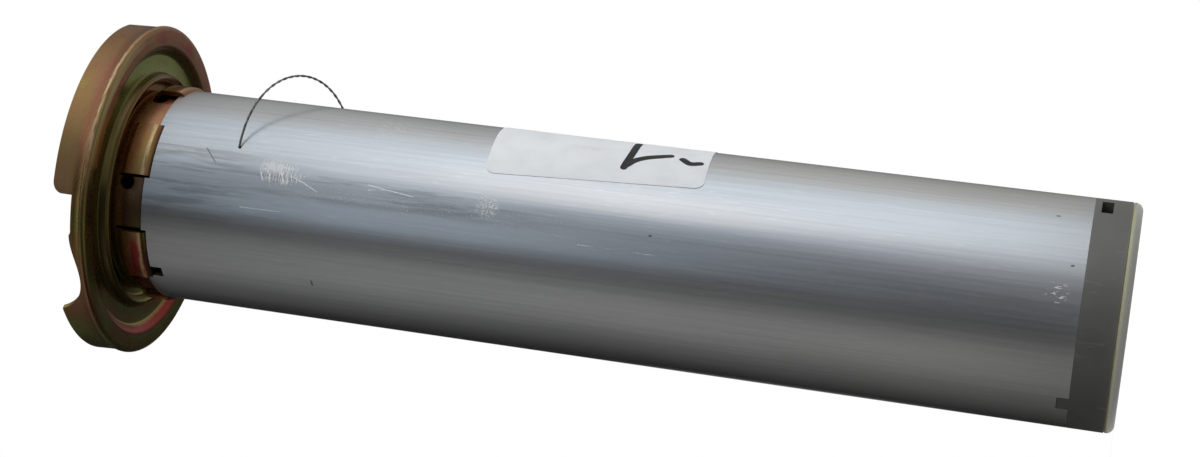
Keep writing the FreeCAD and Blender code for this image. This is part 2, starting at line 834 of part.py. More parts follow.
def return_leaf():
    """Contact clamped under the rod's clip, bent up to just under the reserve ring."""
    tip_level = bush_foot - 2 * bronze_sheet - contact_gap
    washer = ring(rod_radius, clip_radius, foot_top, clip_seat)
    arm = box(0, reserve_tip + leaf_run, -leaf_width / 2, leaf_width / 2, foot_top, clip_seat)
    riser = plate(bent_sheet([
        (reserve_tip + leaf_run - bronze_bend, clip_seat, 0),
        (reserve_tip + 2 * leaf_run, clip_seat, bronze_bend),
        (reserve_tip + leaf_run, tip_level, bronze_bend),
        (reserve_tip, tip_level, 0),
    ], bronze_sheet), -leaf_width / 2, leaf_width / 2)
    leaf = washer.fuse(arm.cut(cylinder(rod_radius, foot_top - 1, clip_seat + 1))).fuse(riser)
    return turned(leaf, -90)


def reserve_ring():
    """Bronze ring under the float, which joins the two reserve contacts at the foot."""
    return ring(ring_inner_radius, ring_outer_radius, bush_foot - bronze_sheet, bush_foot)


def lower_buffer():
    """Rubber washer that the float comes down on."""
    return ring(rod_radius, buffer_radius, buffer_seat, buffer_seat + lower_buffer_height)


def upper_buffer():
    """Rubber washer under the carrier that stops the float."""
    return ring(rod_radius, buffer_radius, buffer_foot, carrier_foot)


parts = {
    "bayonet_flange": bayonet_flange(),
    "tube_socket": tube_socket(),
    "outer_tube": outer_tube(),
    "end_cap": end_cap(),
    "paper_label": paper_label(),
    "wire_loop": wire_loop(),
    "terminal_carrier": terminal_carrier(),
    "carrier_gasket": carrier_gasket(),
    "carrier_rivets": carrier_rivets(),
    "gauge_terminal": side_terminal(-blade_pitch),
    "warning_terminal": warning_terminal(),
    "earth_terminal": side_terminal(blade_pitch),
    "guide_rod": guide_rod(),
    "rod_clip": rod_clip(),
    "rod_washer": rod_washer(),
    "rod_nut": rod_nut(),
    "support_rod": support_rod(),
    "foot_plate": foot_plate(),
    "gauge_wire": resistance_wire(-blade_pitch),
    "earth_wire": resistance_wire(blade_pitch),
    "gauge_leaf": wire_leaf(-blade_pitch),
    "earth_leaf": wire_leaf(blade_pitch),
    "reserve_leaf": reserve_leaf(),
    "return_leaf": return_leaf(),
    "float_body": float_body(),
    "float_bush": float_bush(),
    "contact_bridge": contact_bridge(),
    "bridge_pads": bridge_pads(),
    "bridge_clip": bridge_clip(),
    "reserve_ring": reserve_ring(),
    "lower_buffer": lower_buffer(),
    "upper_buffer": upper_buffer(),
}

os.makedirs("parts", exist_ok=True)
for name, shape in parts.items():
    shape.exportStep("parts/" + name + ".step")
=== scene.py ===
import math

import bmesh
import bpy
from mathutils import Matrix, Vector


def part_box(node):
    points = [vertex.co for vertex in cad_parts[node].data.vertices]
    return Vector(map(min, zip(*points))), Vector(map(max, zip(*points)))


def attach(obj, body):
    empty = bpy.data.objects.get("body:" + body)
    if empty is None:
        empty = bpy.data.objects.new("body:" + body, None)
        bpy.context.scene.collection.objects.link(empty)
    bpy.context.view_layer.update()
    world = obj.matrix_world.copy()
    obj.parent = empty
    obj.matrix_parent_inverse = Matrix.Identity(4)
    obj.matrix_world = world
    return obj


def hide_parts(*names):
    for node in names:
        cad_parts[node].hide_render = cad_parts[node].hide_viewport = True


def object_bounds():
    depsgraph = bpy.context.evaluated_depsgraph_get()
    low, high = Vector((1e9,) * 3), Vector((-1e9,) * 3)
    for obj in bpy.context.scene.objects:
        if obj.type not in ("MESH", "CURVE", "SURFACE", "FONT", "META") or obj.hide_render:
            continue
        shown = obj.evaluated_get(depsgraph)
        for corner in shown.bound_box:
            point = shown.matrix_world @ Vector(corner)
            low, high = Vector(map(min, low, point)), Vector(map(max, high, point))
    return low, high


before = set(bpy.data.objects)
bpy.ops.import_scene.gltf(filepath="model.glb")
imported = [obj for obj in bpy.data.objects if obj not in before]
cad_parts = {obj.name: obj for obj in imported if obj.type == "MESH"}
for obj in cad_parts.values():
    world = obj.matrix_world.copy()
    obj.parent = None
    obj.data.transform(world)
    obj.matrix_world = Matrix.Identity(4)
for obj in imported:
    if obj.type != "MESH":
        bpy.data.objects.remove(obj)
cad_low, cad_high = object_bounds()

# Dip tube fuel level sender, in metres. The tube hangs down -Z from the bayonet flange, whose
# sealing face is the origin, and the sender stands on the flat foot of its cap.
# The photograph looks along +Y with +X upwards. Angles are in degrees about Z from +X.

# Outer tube
# A drawn aluminium pipe. Its top edge steps down under the socket's outer tabs, both ends are
# slotted to place the flange and the cap, and the wire loop goes in through two small holes.

mm = 0.001
tube_radius = 27.0 * mm
tube_bore = 26.0 * mm
tube_top = -8.2 * mm
tube_foot = -235.1 * mm
fine_step = 1.5
tab_count = 6
tab_angle = -67.4
outer_tab_span = 29.4
tab_slit = 0.5 * mm
tube_step = 1.3 * mm
top_slot = (-138.0, 3.2 * mm, 4.3 * mm)
foot_slot = (-140.3, 4.0 * mm, 2.7 * mm)
loop_near = (-59.4, tube_top - 22.8 * mm)
loop_far = (40.0, tube_top - 37.6 * mm)
loop_hole = 0.45 * mm
tube_edge = 0.12 * mm


def on_circle(radius, angle, level):
    """Point at a radius and an angle about Z."""
    turned = math.radians(angle)
    return Vector((radius * math.cos(turned), radius * math.sin(turned), level))


def spread(start, end, step):
    """Even values from start to end, no further apart than the step."""
    count = max(1, math.ceil(abs(end - start) / step - 1e-6))
    return [start + (end - start) * i / count for i in range(count + 1)]


def oblong(inner, outer, low, high):
    """Corners of a rectangular section."""
    return [(inner, low), (outer, low), (outer, high), (inner, high)]


def placed(name, data):
    """New object in the scene."""
    holder = bpy.data.objects.new(name, data)
    bpy.context.scene.collection.objects.link(holder)
    return holder


def mesh_piece(name, points, faces):
    """New closed piece from points and faces, with doubles merged and faces turned outwards."""
    mesh = bpy.data.meshes.new(name)
    mesh.from_pydata(points, [], faces)
    work = bmesh.new()
    work.from_mesh(mesh)
    bmesh.ops.remove_doubles(work, verts=work.verts, dist=0.001 * mm)
    bmesh.ops.recalc_face_normals(work, faces=work.faces)
    work.to_mesh(mesh)
    work.free()
    return placed(name, mesh)


def lofted(name, rings, whole=False):
    """Closed skin through rings of points. A whole one joins its last ring to its first."""
    count = len(rings[0])
    points = [point for ring in rings for point in ring]
    faces = []
    for i in range(len(rings) if whole else len(rings) - 1):
        here = i * count
        there = (i + 1) % len(rings) * count
        for j in range(count):
            k = (j + 1) % count
            faces.append((here + j, here + k, there + k, there + j))
    if not whole:
        faces += [tuple(range(count)), tuple(range(len(points) - count, len(points)))]
    return mesh_piece(name, points, faces)


def swept(name, section, angles, shaped=None):
    """Closed (radius, level) section swept round Z, each point moved by shaped for its angle."""
    whole = angles[-1] - angles[0] > 359.9
    rings = []
    for angle in angles[:-1] if whole else angles:
        moved = [shaped(radius, level, angle) for radius, level in section] if shaped else section
        rings.append([on_circle(radius, angle, level) for radius, level in moved])
    return lofted(name, rings, whole)


def block(low, high, angle):
    """Box between two corners, turned about Z."""
    turned = Matrix.Rotation(math.radians(angle), 4, "Z")
    outline = oblong(low[0], high[0], low[1], high[1])
    rings = [[turned @ Vector((x, y, z)) for x, y in outline] for z in (low[2], high[2])]
    return lofted("block", rings)


def rod(radius, start, end, sides=24):
    """Cylinder between two points."""
    along = (end - start).normalized()
    across = along.orthogonal().normalized()
    other = along.cross(across)
    rim = []
    for i in range(sides):
        angle = 2 * math.pi * i / sides
        rim.append(across * radius * math.cos(angle) + other * radius * math.sin(angle))
    return lofted("rod", [[start + step for step in rim], [end + step for step in rim]])


def settled(piece):
    """Makes what a piece's modifiers give its plain mesh."""
    bpy.context.view_layer.update()
    graph = bpy.context.evaluated_depsgraph_get()
    made = bpy.data.meshes.new_from_object(piece.evaluated_get(graph))
    piece.modifiers.clear()
    piece.data = made
    return piece


def united(pieces):
    """One piece from several that lie apart."""
    work = bmesh.new()
    for piece in pieces:
        work.from_mesh(piece.data)
    work.to_mesh(pieces[0].data)
    work.free()
    for piece in pieces[1:]:
        bpy.data.objects.remove(piece)
    return pieces[0]


def carved(piece, tools, way="DIFFERENCE"):
    """Exact boolean of a piece and its tools, which are used up."""
    for tool in tools:
        cut = piece.modifiers.new("cut", "BOOLEAN")
        cut.solver = "EXACT"
        cut.operation = way
        cut.object = tool
    settled(piece)
    for tool in tools:
        bpy.data.objects.remove(tool)
    return piece


def softened(piece, width, crease=40.0):
    """Rounds a piece's sharp edges a little."""
    bevel = piece.modifiers.new("soft_edges", "BEVEL")
    bevel.width = width
    bevel.segments = 2
    bevel.limit_method = "ANGLE"
    bevel.angle_limit = math.radians(crease)
    return piece


def dressed(piece, name, finish, nodes, body="housing", crease=32.0):
    """Names a piece, gives it its finish and its body, and lets it stand for its CAD nodes."""
    piece.name = name
    piece.data.materials.clear()
    piece.data.materials.append(finish)
    piece.data.shade_smooth()
    piece.data.set_sharp_from_angle(angle=math.radians(crease))
    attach(piece, body)
    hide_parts(*nodes)


class Signal:
    """A node socket that takes part in sums. A sum adds the Math node that it needs."""

    def __init__(self, tree, socket=None):
        self.tree = tree
        self.socket = socket

    def node(self, kind, settings, values, result=0):
        """New node of a type: its settings are made first, then its sockets get values or links."""
        added = self.tree.nodes.new(kind)
        for name, setting in settings.items():
            if name == "stops":
                while len(added.color_ramp.elements) < len(setting):
                    added.color_ramp.elements.new(1.0)
                for stop, (place, colour) in zip(added.color_ramp.elements, setting):
                    stop.position = place
                    stop.color = colour
            else:
                setattr(added, name, setting)
        for name, value in values.items():
            if isinstance(value, Signal):
                self.tree.links.new(value.socket, added.inputs[name])
            else:
                added.inputs[name].default_value = value
        return Signal(self.tree, added.outputs[result] if added.outputs else None)

    def maths(self, operation, *values):
        return self.node("ShaderNodeMath", {"operation": operation}, dict(enumerate(values)))

    def __add__(self, other):
        return self.maths("ADD", self, other)

    def __sub__(self, other):
        return self.maths("SUBTRACT", self, other)

    def __rsub__(self, other):
        return self.maths("SUBTRACT", other, self)

    def __mul__(self, other):
        return self.maths("MULTIPLY", self, other)

    def __truediv__(self, other):
        return self.maths("DIVIDE", self, other)

    def __pow__(self, other):
        return self.maths("POWER", self, other)

    def __or__(self, other):
        """The larger of two masks."""
        return self.maths("MAXIMUM", self, other)

    __radd__ = __add__
    __rmul__ = __mul__

    def split(self):
        """The three coordinates of a vector."""
        added = self.node("ShaderNodeSeparateXYZ", {}, {0: self}).socket.node
        return [Signal(self.tree, socket) for socket in added.outputs]

    def in_mm(self):
        """The three coordinates of a place, in millimetres."""
        return self.stretched(1 / mm, 1 / mm, 1 / mm).split()

    def stretched(self, x, y, z):
        """Vector times a factor on each axis."""
        return self.node("ShaderNodeVectorMath", {"operation": "MULTIPLY"}, {0: self, 1: (x, y, z)})

    def drawn(self, share):
        """Place for a noise drawn out along Z. The smaller the share, the longer it gets."""
        return self.stretched(1, 1, share)

    def noise(self, scale, detail=2.0, roughness=0.5):
        """Noise at a number of cells per metre, or per mm of a place in mm."""
        values = {"Vector": self, "Scale": scale, "Detail": detail, "Roughness": roughness}
        return self.node("ShaderNodeTexNoise", {}, values)

    def rise(self, low, high):
        """Smooth step from 0 at low to 1 at high. With low above high it falls."""
        values = {"Value": self, "From Min": low, "From Max": high}
        return self.node("ShaderNodeMapRange", {"interpolation_type": "SMOOTHSTEP"}, values)

    def near(self, middle, width):
        """1 at a value, falling to 0 at a distance from it."""
        away = self - middle
        return away.maths("ABSOLUTE", away).rise(width, width * 0.4)

    def mix(self, low, high):
        """Colour between two, by this factor."""
        return self.node("ShaderNodeMix", {"data_type": "RGBA"}, {0: self, 6: low, 7: high}, 2)

    def ramp(self, stops):
        """Colour by place along a row of (place, colour) stops."""
        return self.node("ShaderNodeValToRGB", {"stops": stops}, {0: self})

    def bump(self, depth):
        """Normal from this height, for a relief of a depth in millimetres."""
        return self.node("ShaderNodeBump", {}, {"Height": self, "Distance": depth * mm})


def paint(red, green, blue):
    """Linear colour from its screen values of 0 to 255."""
    linear = []
    for value in (red, green, blue):
        part = value / 255
        linear.append(part / 12.92 if part <= 0.04045 else ((part + 0.055) / 1.055) ** 2.4)
    return (*linear, 1.0)


def new_finish(name):
    """New material, with its shader and its place on the object as a signal."""
    material = bpy.data.materials.new(name)
    material.use_nodes = True
    tree = material.node_tree
    place = Signal(tree).node("ShaderNodeTexCoord", {}, {}, "Object")
    return material, tree.nodes["Principled BSDF"], place


def fed(material, shader, **signals):
    """Links signals to the shader's sockets: base_color feeds Base Color."""
    for name, signal in signals.items():
        socket = shader.inputs[name.replace("_", " ").title()]
        material.node_tree.links.new(signal.socket, socket)
    return material


def drawn_aluminium():
    """Dull drawn metal: lengthwise streaks and waves, cloudy oxide, rubbed patches, scratches."""
    material, shader, place = new_finish("drawn_aluminium")
    x, y, z = place.in_mm()
    around = y.maths("ARCTAN2", y, x) * (tube_radius / mm)
    streak = place.drawn(0.012).noise(1400, 3)
    hairline = place.drawn(0.02).noise(5200, 2)
    wave = place.drawn(0.16).noise(150, 2)
    cloud = place.drawn(0.35).noise(45, 3)
    dash = place.drawn(0.14).noise(1500, 2)
    grain = place.noise(3500, 3)

    def at(angle):
        """How far round the wall an angle lies, in mm."""
        return math.radians(angle) * tube_radius / mm

    def spot(angle, level, half_width, half_length):
        """Mask of a spot on the wall, from its middle in degrees and mm and its half sizes."""
        across = (around - at(angle)) / half_width
        along = (z - level) / half_length
        return ((across * across + along * along) ** 0.5).rise(1.0, 0.45)

    def scratch(start, end, width):
        """Mask of a scratch between two (degrees, mm) places on the wall."""
        first = Vector((at(start[0]), start[1]))
        run = Vector((at(end[0]), end[1])) - first
        half = run.length / 2
        middle = first + run / 2
        run.normalize()
        beside = (around - middle.x) * run.y - (z - middle.y) * run.x
        past = (around - middle.x) * run.x + (z - middle.y) * run.y
        past = past.maths("ABSOLUTE", past)
        return beside.near(0, width) * past.rise(half + width, half)

    stroke = place.stretched(0.12, 0.12, 1).noise(3600, 2)
    rubbed = spot(-72, -44, 3.4, 6.5) * stroke.rise(0.5, 0.62)
    rubbed = rubbed | spot(-68.5, -41, 2.0, 4.4) * place.noise(1300, 4, 0.6).rise(0.3, 0.6) * 0.5
    speckled = spot(-75.3, -96.7, 3.6, 3.8) * grain.rise(0.53, 0.59)
    speckled = speckled | spot(-34, -67, 9.0, 5.0) * grain.rise(0.62, 0.68) * 0.7
    dusty = around.near(at(-80.5), 3.2) * z.rise(-40, -60) * z.rise(-125, -105)
    speckled = speckled | dusty * grain.rise(0.66, 0.7) * 0.6
    scuff = place.drawn(0.4).noise(1500, 2)
    scuffed = spot(-81, -229.5, 3.4, 3.2) * scuff.rise(0.57, 0.64)
    pale = rubbed | speckled | scuffed
    for start, end, width in (
        ((-71.0, -38.0), (-76.5, -39.2), 0.22), ((-72.5, -40.5), (-79.0, -41.3), 0.18),
        ((-71.5, -43.6), (-77.0, -44.9), 0.22), ((-70.5, -46.0), (-74.5, -46.6), 0.16),
        ((-72.6, -46.7), (-75.4, -50.0), 0.16), ((-75.4, -50.0), (-79.0, -53.6), 0.14),
        ((-71.8, -66.1), (-75.1, -78.0), 0.14), ((-74.5, -66.4), (-72.3, -74.4), 0.10),
        ((-92.0, -34.4), (-91.8, -44.9), 0.10), ((-88.5, -120.0), (-88.9, -141.0), 0.10),
    ):
        pale = pale | scratch(start, end, width) * dash.rise(0.3, 0.55)
    dark = scratch((-62.4, -22.6), (-69.9, -25.8), 0.20)
    dark = dark | scratch((-128.6, -53.2), (-131.4, -53.4), 0.3)
    for angle, level in ((-79.4, -136.9), (-67.2, -232.3), (-37.7, -227.6)):
        dark = dark | spot(angle, level, 0.35, 0.6)
    by_flange = around.near(at(-80), 13) * z.rise(-62, -14)
    farther = around.near(at(-77), 4.5) * z.rise(-122, -88) * z.rise(-16, -44)
    smear = place.drawn(0.07).noise(620, 4, 0.6).rise(0.44, 0.62)
    smear = smear * (by_flange | farther * 0.8)

    tone = (streak * 0.5 + cloud * 0.5).rise(0.28, 0.72)
    colour = tone.mix(paint(216, 217, 219), paint(234, 235, 236))
    colour = (dash.rise(0.6, 0.72) * 0.35).mix(colour, paint(244, 245, 246))
    colour = (smear * 0.7).mix(colour, paint(170, 169, 165))
    colour = (pale * 0.9).mix(colour, paint(248, 248, 248))
    colour = (dark * 0.7).mix(colour, paint(70, 72, 78))
    rough = 0.17 + streak * 0.08 + cloud * 0.06 + pale * 0.3
    metal = 0.96 - pale * 0.85
    relief = streak * 0.008 + hairline * 0.003 + wave * 0.028 + pale * 0.01 - dark * 0.02
    normal = relief.bump(1.0)
    return fed(material, shader, base_color=colour, roughness=rough, metallic=metal, normal=normal)


def outer_tube():
    """Wall with its steps, slots and holes cut."""
    wall = oblong(tube_bore, tube_radius, tube_foot, tube_top)
    tube = swept("outer_tube", wall, spread(-180, 180, fine_step))
    half_span = outer_tab_span / 2 + math.degrees(tab_slit / tube_bore)
    over = 1.0 * mm
    step = oblong(tube_bore - over, tube_radius + over, tube_top - tube_step, tube_top + over)
    tools = []
    for i in range(tab_count):
        middle = tab_angle + i * 360 / tab_count
        tools.append(swept("step", step, spread(middle - half_span, middle + half_span, 4)))
    slots = [
        (*top_slot[:2], tube_top - top_slot[2], tube_top + over),
        (*foot_slot[:2], tube_foot - over, tube_foot + foot_slot[2]),
    ]
    for turned in (0, 180):
        for angle, width, low, high in slots:
            corner = (tube_radius + over, width / 2, high)
            tools.append(block((0, -width / 2, low), corner, angle + turned))
    for angle, level in (loop_near, loop_far):
        radii = (tube_bore - over, tube_radius + over)
        tools.append(rod(loop_hole, *[on_circle(radius, angle, level) for radius in radii]))
    return softened(carved(tube, tools), tube_edge)


dressed(outer_tube(), "tube_wall", drawn_aluminium(), ["outer_tube"])

# Bayonet flange
# One pressed steel sheet, zinc plated and yellow passivated. A skirt with three ramped openings
# locks on the tank, the flat ring seals, and a channel and a crest run round the centre disc.

flange_radius = 42.7 * mm
skirt_height = 8.9 * mm
flange_sheet = 1.2 * mm
skirt_bend = 1.2 * mm
skirt_waist = 0.3 * mm
waist_level = 2.8 * mm
waist_ease = 0.23 * mm
rim_bead = 0.6 * mm
rim_level = 1.7 * mm
press_bend = 0.8 * mm
face_radius = 37.2 * mm
channel_outer = 35.6 * mm
channel_inner = 30.7 * mm
channel_level = 2.0 * mm
shoulder = (30.0 * mm, -0.2 * mm)
crest = (28.2 * mm, -1.8 * mm)
crest_bend = 1.3 * mm
disc_level = 2.2 * mm
disc_bore = 17.0 * mm
bayonet_angles = (-124.0, 3.0, 116.0)
scoop_floor = 1.95 * mm
scoop_radius = 11.8 * mm
ramp_length = 11.7 * mm
ramp_top = 4.2 * mm
window_floor = 3.8 * mm
window_length = 9.5 * mm
window_corner = 2.6 * mm
flange_edge = 0.18 * mm


def rounded(corners, step=9.0):
    """Points of an outline whose (x, y, radius) corners are rounded."""
    points = []
    count = len(corners)
    for i, (x, y, radius) in enumerate(corners):
        here = Vector((x, y))
        before = (Vector(corners[i - 1][:2]) - here).normalized()
        after = (Vector(corners[(i + 1) % count][:2]) - here).normalized()
        half = before.angle(after) / 2
        if radius <= 0 or half > math.radians(89.5):
            points.append((x, y))
            continue
        centre = here + (before + after).normalized() * (radius / math.sin(half))
        first = here + before * (radius / math.tan(half)) - centre
        last = here + after * (radius / math.tan(half)) - centre
        swing = math.atan2(first.cross(last), first.dot(last))
        for turned in spread(0, swing, math.radians(step)):
            point = centre + Matrix.Rotation(turned, 2) @ first
            points.append((point.x, point.y))
    return points


def bent_sheet(path, thickness):
    """Corners of a bent sheet's section. The path is one skin, and the other lies on its right."""
    other = []
    for i, (x, y, bend) in enumerate(path):
        here = Vector((x, y))
        sides = []
        if i > 0:
            sides.append((here - Vector(path[i - 1][:2])).normalized())
        if i < len(path) - 1:
            sides.append((Vector(path[i + 1][:2]) - here).normalized())
        first = Vector((sides[0].y, -sides[0].x))
        last = Vector((sides[-1].y, -sides[-1].x))
        mitre = (first + last).normalized()
        moved = here + mitre * (thickness / mitre.dot(first))
        wider = bend + thickness if sides[0].cross(sides[-1]) > 0 else bend - thickness
        other.append((moved.x, moved.y, wider if bend > 0 else 0))
    return list(path) + other[::-1]


def waist(level):
    """How far the skirt stands out at a level: in below its middle, then out to the rim bead."""
    upper = -skirt_waist * (skirt_height - level) / (skirt_height - waist_level)
    lower = -skirt_waist + (skirt_waist + rim_bead) * (waist_level - level) / waist_level
    return (upper + lower + math.sqrt((upper - lower) ** 2 + waist_ease ** 2)) / 2


def skirt_edge(angle):
    """Level of the skirt's free edge: full height, or the outline of an opening."""
    scoop_centre = scoop_floor + scoop_radius
    scoop_edge = math.sqrt(scoop_radius ** 2 - (scoop_centre - skirt_height) ** 2)
    window_end = ramp_length + window_length
    for opening in bayonet_angles:
        turn = (angle - opening + 180) % 360 - 180
        if abs(turn) > 60:
            continue
        along = math.sin(math.radians(turn)) * flange_radius
        if -scoop_edge < along <= 0:
            return scoop_centre - math.sqrt(scoop_radius ** 2 - along ** 2)
        if 0 < along <= ramp_length:
            share = along / ramp_length
            return scoop_floor + (ramp_top - scoop_floor) * share * share * (3 - 2 * share)
        if ramp_length < along <= window_end:
            return max(window_floor, ramp_top - (along - ramp_length) / 2)
        if window_end < along < window_end + window_corner:
            into = window_end + window_corner - along
            return skirt_height - window_corner + math.sqrt(window_corner ** 2 - into ** 2)
    return skirt_height


def zinc_steel():
    """Yellow passivated zinc: olive, gold, brown and pink in drifts, with stains and light specks,
    painted highlights on edges and on the front side, and painted shade and shadow in hollows.
    """
    material, shader, place = new_finish("zinc_steel")
    x, y, z = place.in_mm()
    radius = (x * x + y * y) ** 0.5
    rings = x.node("ShaderNodeCombineXYZ", {}, {"X": x * 0.5, "Y": y * 0.5, "Z": radius + z})
    drift = rings.noise(0.17, 3, 0.5)
    stain = place.noise(230, 4, 0.6)
    speck = place.noise(1500, 3, 0.6)
    pressed = place.stretched(0.4, 0.4, 2.5).noise(700, 2)

    skirt = radius.rise(42.0, 42.4)
    face = radius.near(40.2, 2.6) * z.rise(0.6, 0.2)
    wall = radius.near(37.0, 1.6) * z.rise(2.4, 1.6)
    channel = radius.near(33.5, 4.2) * z.rise(0.3, 1.2)
    tab = z.rise(-1.6, -3.0)
    outer = radius.rise(27.2, 27.6)
    below = x.rise(-10, -26)
    # The front side, toward -Y, is where the painted highlights lie.
    front = x.near(20, 22) * y.rise(-4, -16)

    hue = x.rise(-34, 30) * 0.3 + 0.22 + (drift - 0.5) * 0.9 + (stain - 0.5) * 0.2
    hue = hue + tab * (x.rise(4, 14) * (0.24 - outer * 0.16) + below * 0.6)
    hue = hue + tab * outer * x.near(-16, 6) * z.near(-6.8, 2.2) * 0.55
    hue = hue + skirt * below * (x.rise(-39, -30) * 0.5 - 0.14)
    hue = hue - channel * x.rise(-6, 26) * 0.5 + wall * below * 0.9
    hue = hue + face * x.rise(14, 32) * 0.26
    colour = hue.ramp([
        (0.0, paint(176, 184, 108)), (0.22, paint(170, 156, 88)), (0.42, paint(176, 138, 88)),
        (0.62, paint(176, 130, 94)), (0.82, paint(178, 116, 88)), (1.0, paint(172, 72, 64)),
    ])
    colour = (stain.rise(0.56, 0.78) * 0.35).mix(colour, paint(110, 92, 56))
    # Painted shade: the shoulder between the channel and the crest is darkened where shade falls.
    painted_shoulder_shade = radius.near(30.4, 1.0) * z.rise(-1.0, -0.2)
    colour = (painted_shoulder_shade * 0.7).mix(colour, paint(92, 88, 56))
    # Painted shade: the upper inner tabs, recessed between the outer tabs, are darkened to a shaded
    # red-brown.
    painted_recess_shade = radius.rise(27.4, 27.1) * tab * x.rise(12, 2)
    colour = (painted_recess_shade * 0.8).mix(colour, paint(84, 62, 54))
    # Painted highlight: a pink sheen on the skirt just above the rim bead, on the front side only.
    painted_pink_highlight = radius.rise(42.0, 42.3) * z.near(2.7, 1.7) * front
    colour = (painted_pink_highlight * 0.55).mix(colour, paint(212, 138, 108))
    # Painted highlight: a light band on the outer sealing face, on the front side only.
    painted_face_highlight = radius.near(41.3, 1.6) * z.rise(0.6, 0.2)
    colour = (painted_face_highlight * front * 0.7).mix(colour, paint(222, 206, 142))
    # Painted highlights: the rim bead (mostly on the front side), the upper side of the crest and
    # the feet of the outer tabs are painted light, broken up by the pressing; light dust specks are
    # added everywhere.
    pale_marks = radius.near(42.9, 0.45) * z.near(0.8, 1.0) * (front * 0.85 + 0.15)
    pale_marks = pale_marks | radius.near(28.9, 0.9) * z.near(-1.75, 0.5) * x.rise(-4, 8)
    pale_marks = pale_marks | radius.rise(27.5, 27.9) * z.near(-7.7, 0.7)
    pale_marks = pale_marks * pressed.rise(0.3, 0.6) | speck.rise(0.72, 0.78) * 0.8
    colour = (pale_marks * 0.75).mix(colour, paint(230, 200, 158))
    # Painted shadow: a near-black line on the inner tabs just above the tube's edge, where the
    # tube's wall shades them; it is also made rougher.
    painted_edge_shadow = z.near(-8.1, 0.7) * radius.rise(26.4, 26.1)
    colour = painted_edge_shadow.mix(colour, paint(26, 22, 16))

    rough = 0.19 + stain * 0.12 + pressed * 0.06 + painted_edge_shadow * 0.3
    relief = speck * 0.001 + pressed * 0.004
    shader.inputs["Metallic"].default_value = 0.97
    return fed(material, shader, base_color=colour, roughness=rough, normal=relief.bump(1.0))


def bayonet_flange():
    """Pressed section swept round, its skirt led by the openings."""
    levels = spread(skirt_height, rim_level, 0.8 * mm)
    skirt = [(flange_radius + waist(level), level, 0) for level in levels]
    section = rounded(bent_sheet(skirt + [
        (flange_radius + rim_bead, 0, skirt_bend),
        (face_radius, 0, press_bend + flange_sheet),
        (channel_outer, channel_level, press_bend),
        (channel_inner, channel_level, press_bend),
        (*shoulder, press_bend + flange_sheet),
        (*crest, crest_bend),
        (crest[0], disc_level, press_bend),
        (disc_bore, disc_level, 0),
    ], flange_sheet))
    window_end = ramp_length + window_length
    hair = 0.02 * mm
    marks = [0, ramp_length, ramp_length + 0.8 * mm, window_end - hair, window_end + hair]
    for turn in range(10, 91, 10):
        marks.append(window_end + window_corner * (1 - math.cos(math.radians(turn))))
    for turn in range(3, 67, 3):
        marks.append(-scoop_radius * math.sin(math.radians(turn)))
    angles = set(spread(-180, 180, fine_step))
    for opening in bayonet_angles:
        for mark in marks:
            angle = opening + math.degrees(math.asin(mark / flange_radius))
            angles.add((angle + 180) % 360 - 180)

    def led(radius, level, angle):
        """Section point, with the skirt drawn down to its free edge at this angle."""
        if radius < flange_radius - 3 * mm or level < rim_level:
            return radius, level
        share = (level - rim_level) / (skirt_height - rim_level)
        lowered = rim_level + share * (skirt_edge(angle) - rim_level)
        return radius + waist(lowered) - waist(level), lowered

    return softened(swept("bayonet_flange", section, sorted(angles), led), flange_edge)


zinc = zinc_steel()
dressed(bayonet_flange(), "flange_pressing", zinc, ["bayonet_flange"])

# Tube socket
# A steel collar under the flange. Slits cut its rim into tabs: six are pressed out and stop the
# tube's edge, and the six between them go into the tube. A round vent lies beside each outer tab.

brim_radius = 18.5 * mm
socket_sheet = 1.2 * mm
socket_bend = 1.6 * mm
tab_root = -0.9 * mm
outer_tab_radius = tube_bore + 1.9 * mm
outer_tab_rise = 1.8 * mm
outer_tab_bend = 1.8 * mm
outer_tab_lap = 0.6 * mm
tab_lap = 0.5 * mm
outer_tab_foot = tube_top - tube_step
inner_tab_foot = tube_top - 4.3 * mm
inner_tab_lead = 0.7 * mm
vent_radius = 1.9 * mm
vent_level = tab_root - 2.4 * mm
vent_offset = 18.9
vent_run = (22.0 * mm, 30.0 * mm)
socket_edge = 0.1 * mm


def new_tree(name, **kinds):
    """New Geometry Nodes tree, and its named inputs as signals."""
    tree = bpy.data.node_groups.new(name, "GeometryNodeTree")
    for title, kind in kinds.items():
        tree.interface.new_socket(title, in_out="INPUT", socket_type="NodeSocket" + kind)
    tree.interface.new_socket("Geometry", in_out="OUTPUT", socket_type="NodeSocketGeometry")
    entry = Signal(tree).node("NodeGroupInput", {}, {}).socket.node
    return tree, [Signal(tree, entry.outputs[title]) for title in kinds]


def ended(made, finish):
    """Ends a tree: its instances are made real and get their finish."""
    real = made.node("GeometryNodeRealizeInstances", {}, {"Geometry": made})
    done = real.node("GeometryNodeSetMaterial", {}, {"Geometry": real, "Material": finish})
    done.node("NodeGroupOutput", {}, {"Geometry": done})


def repeat_tree():
    """Tree that sets copies of a mesh round Z in equal steps."""
    tree, (form, count, first, finish) = new_tree(
        "repeat_around", Geometry="Geometry", Count="Int", Start="Float", Finish="Material")
    index = form.node("GeometryNodeInputIndex", {}, {})
    turned = form.node("ShaderNodeCombineXYZ", {}, {"Z": index * (2 * math.pi) / count + first})
    line = count.node("GeometryNodeMeshLine", {}, {"Count": count, "Offset": (0, 0, 0)})
    values = {"Points": line, "Instance": form, "Rotation": turned}
    ended(line.node("GeometryNodeInstanceOnPoints", {}, values), finish)
    return tree


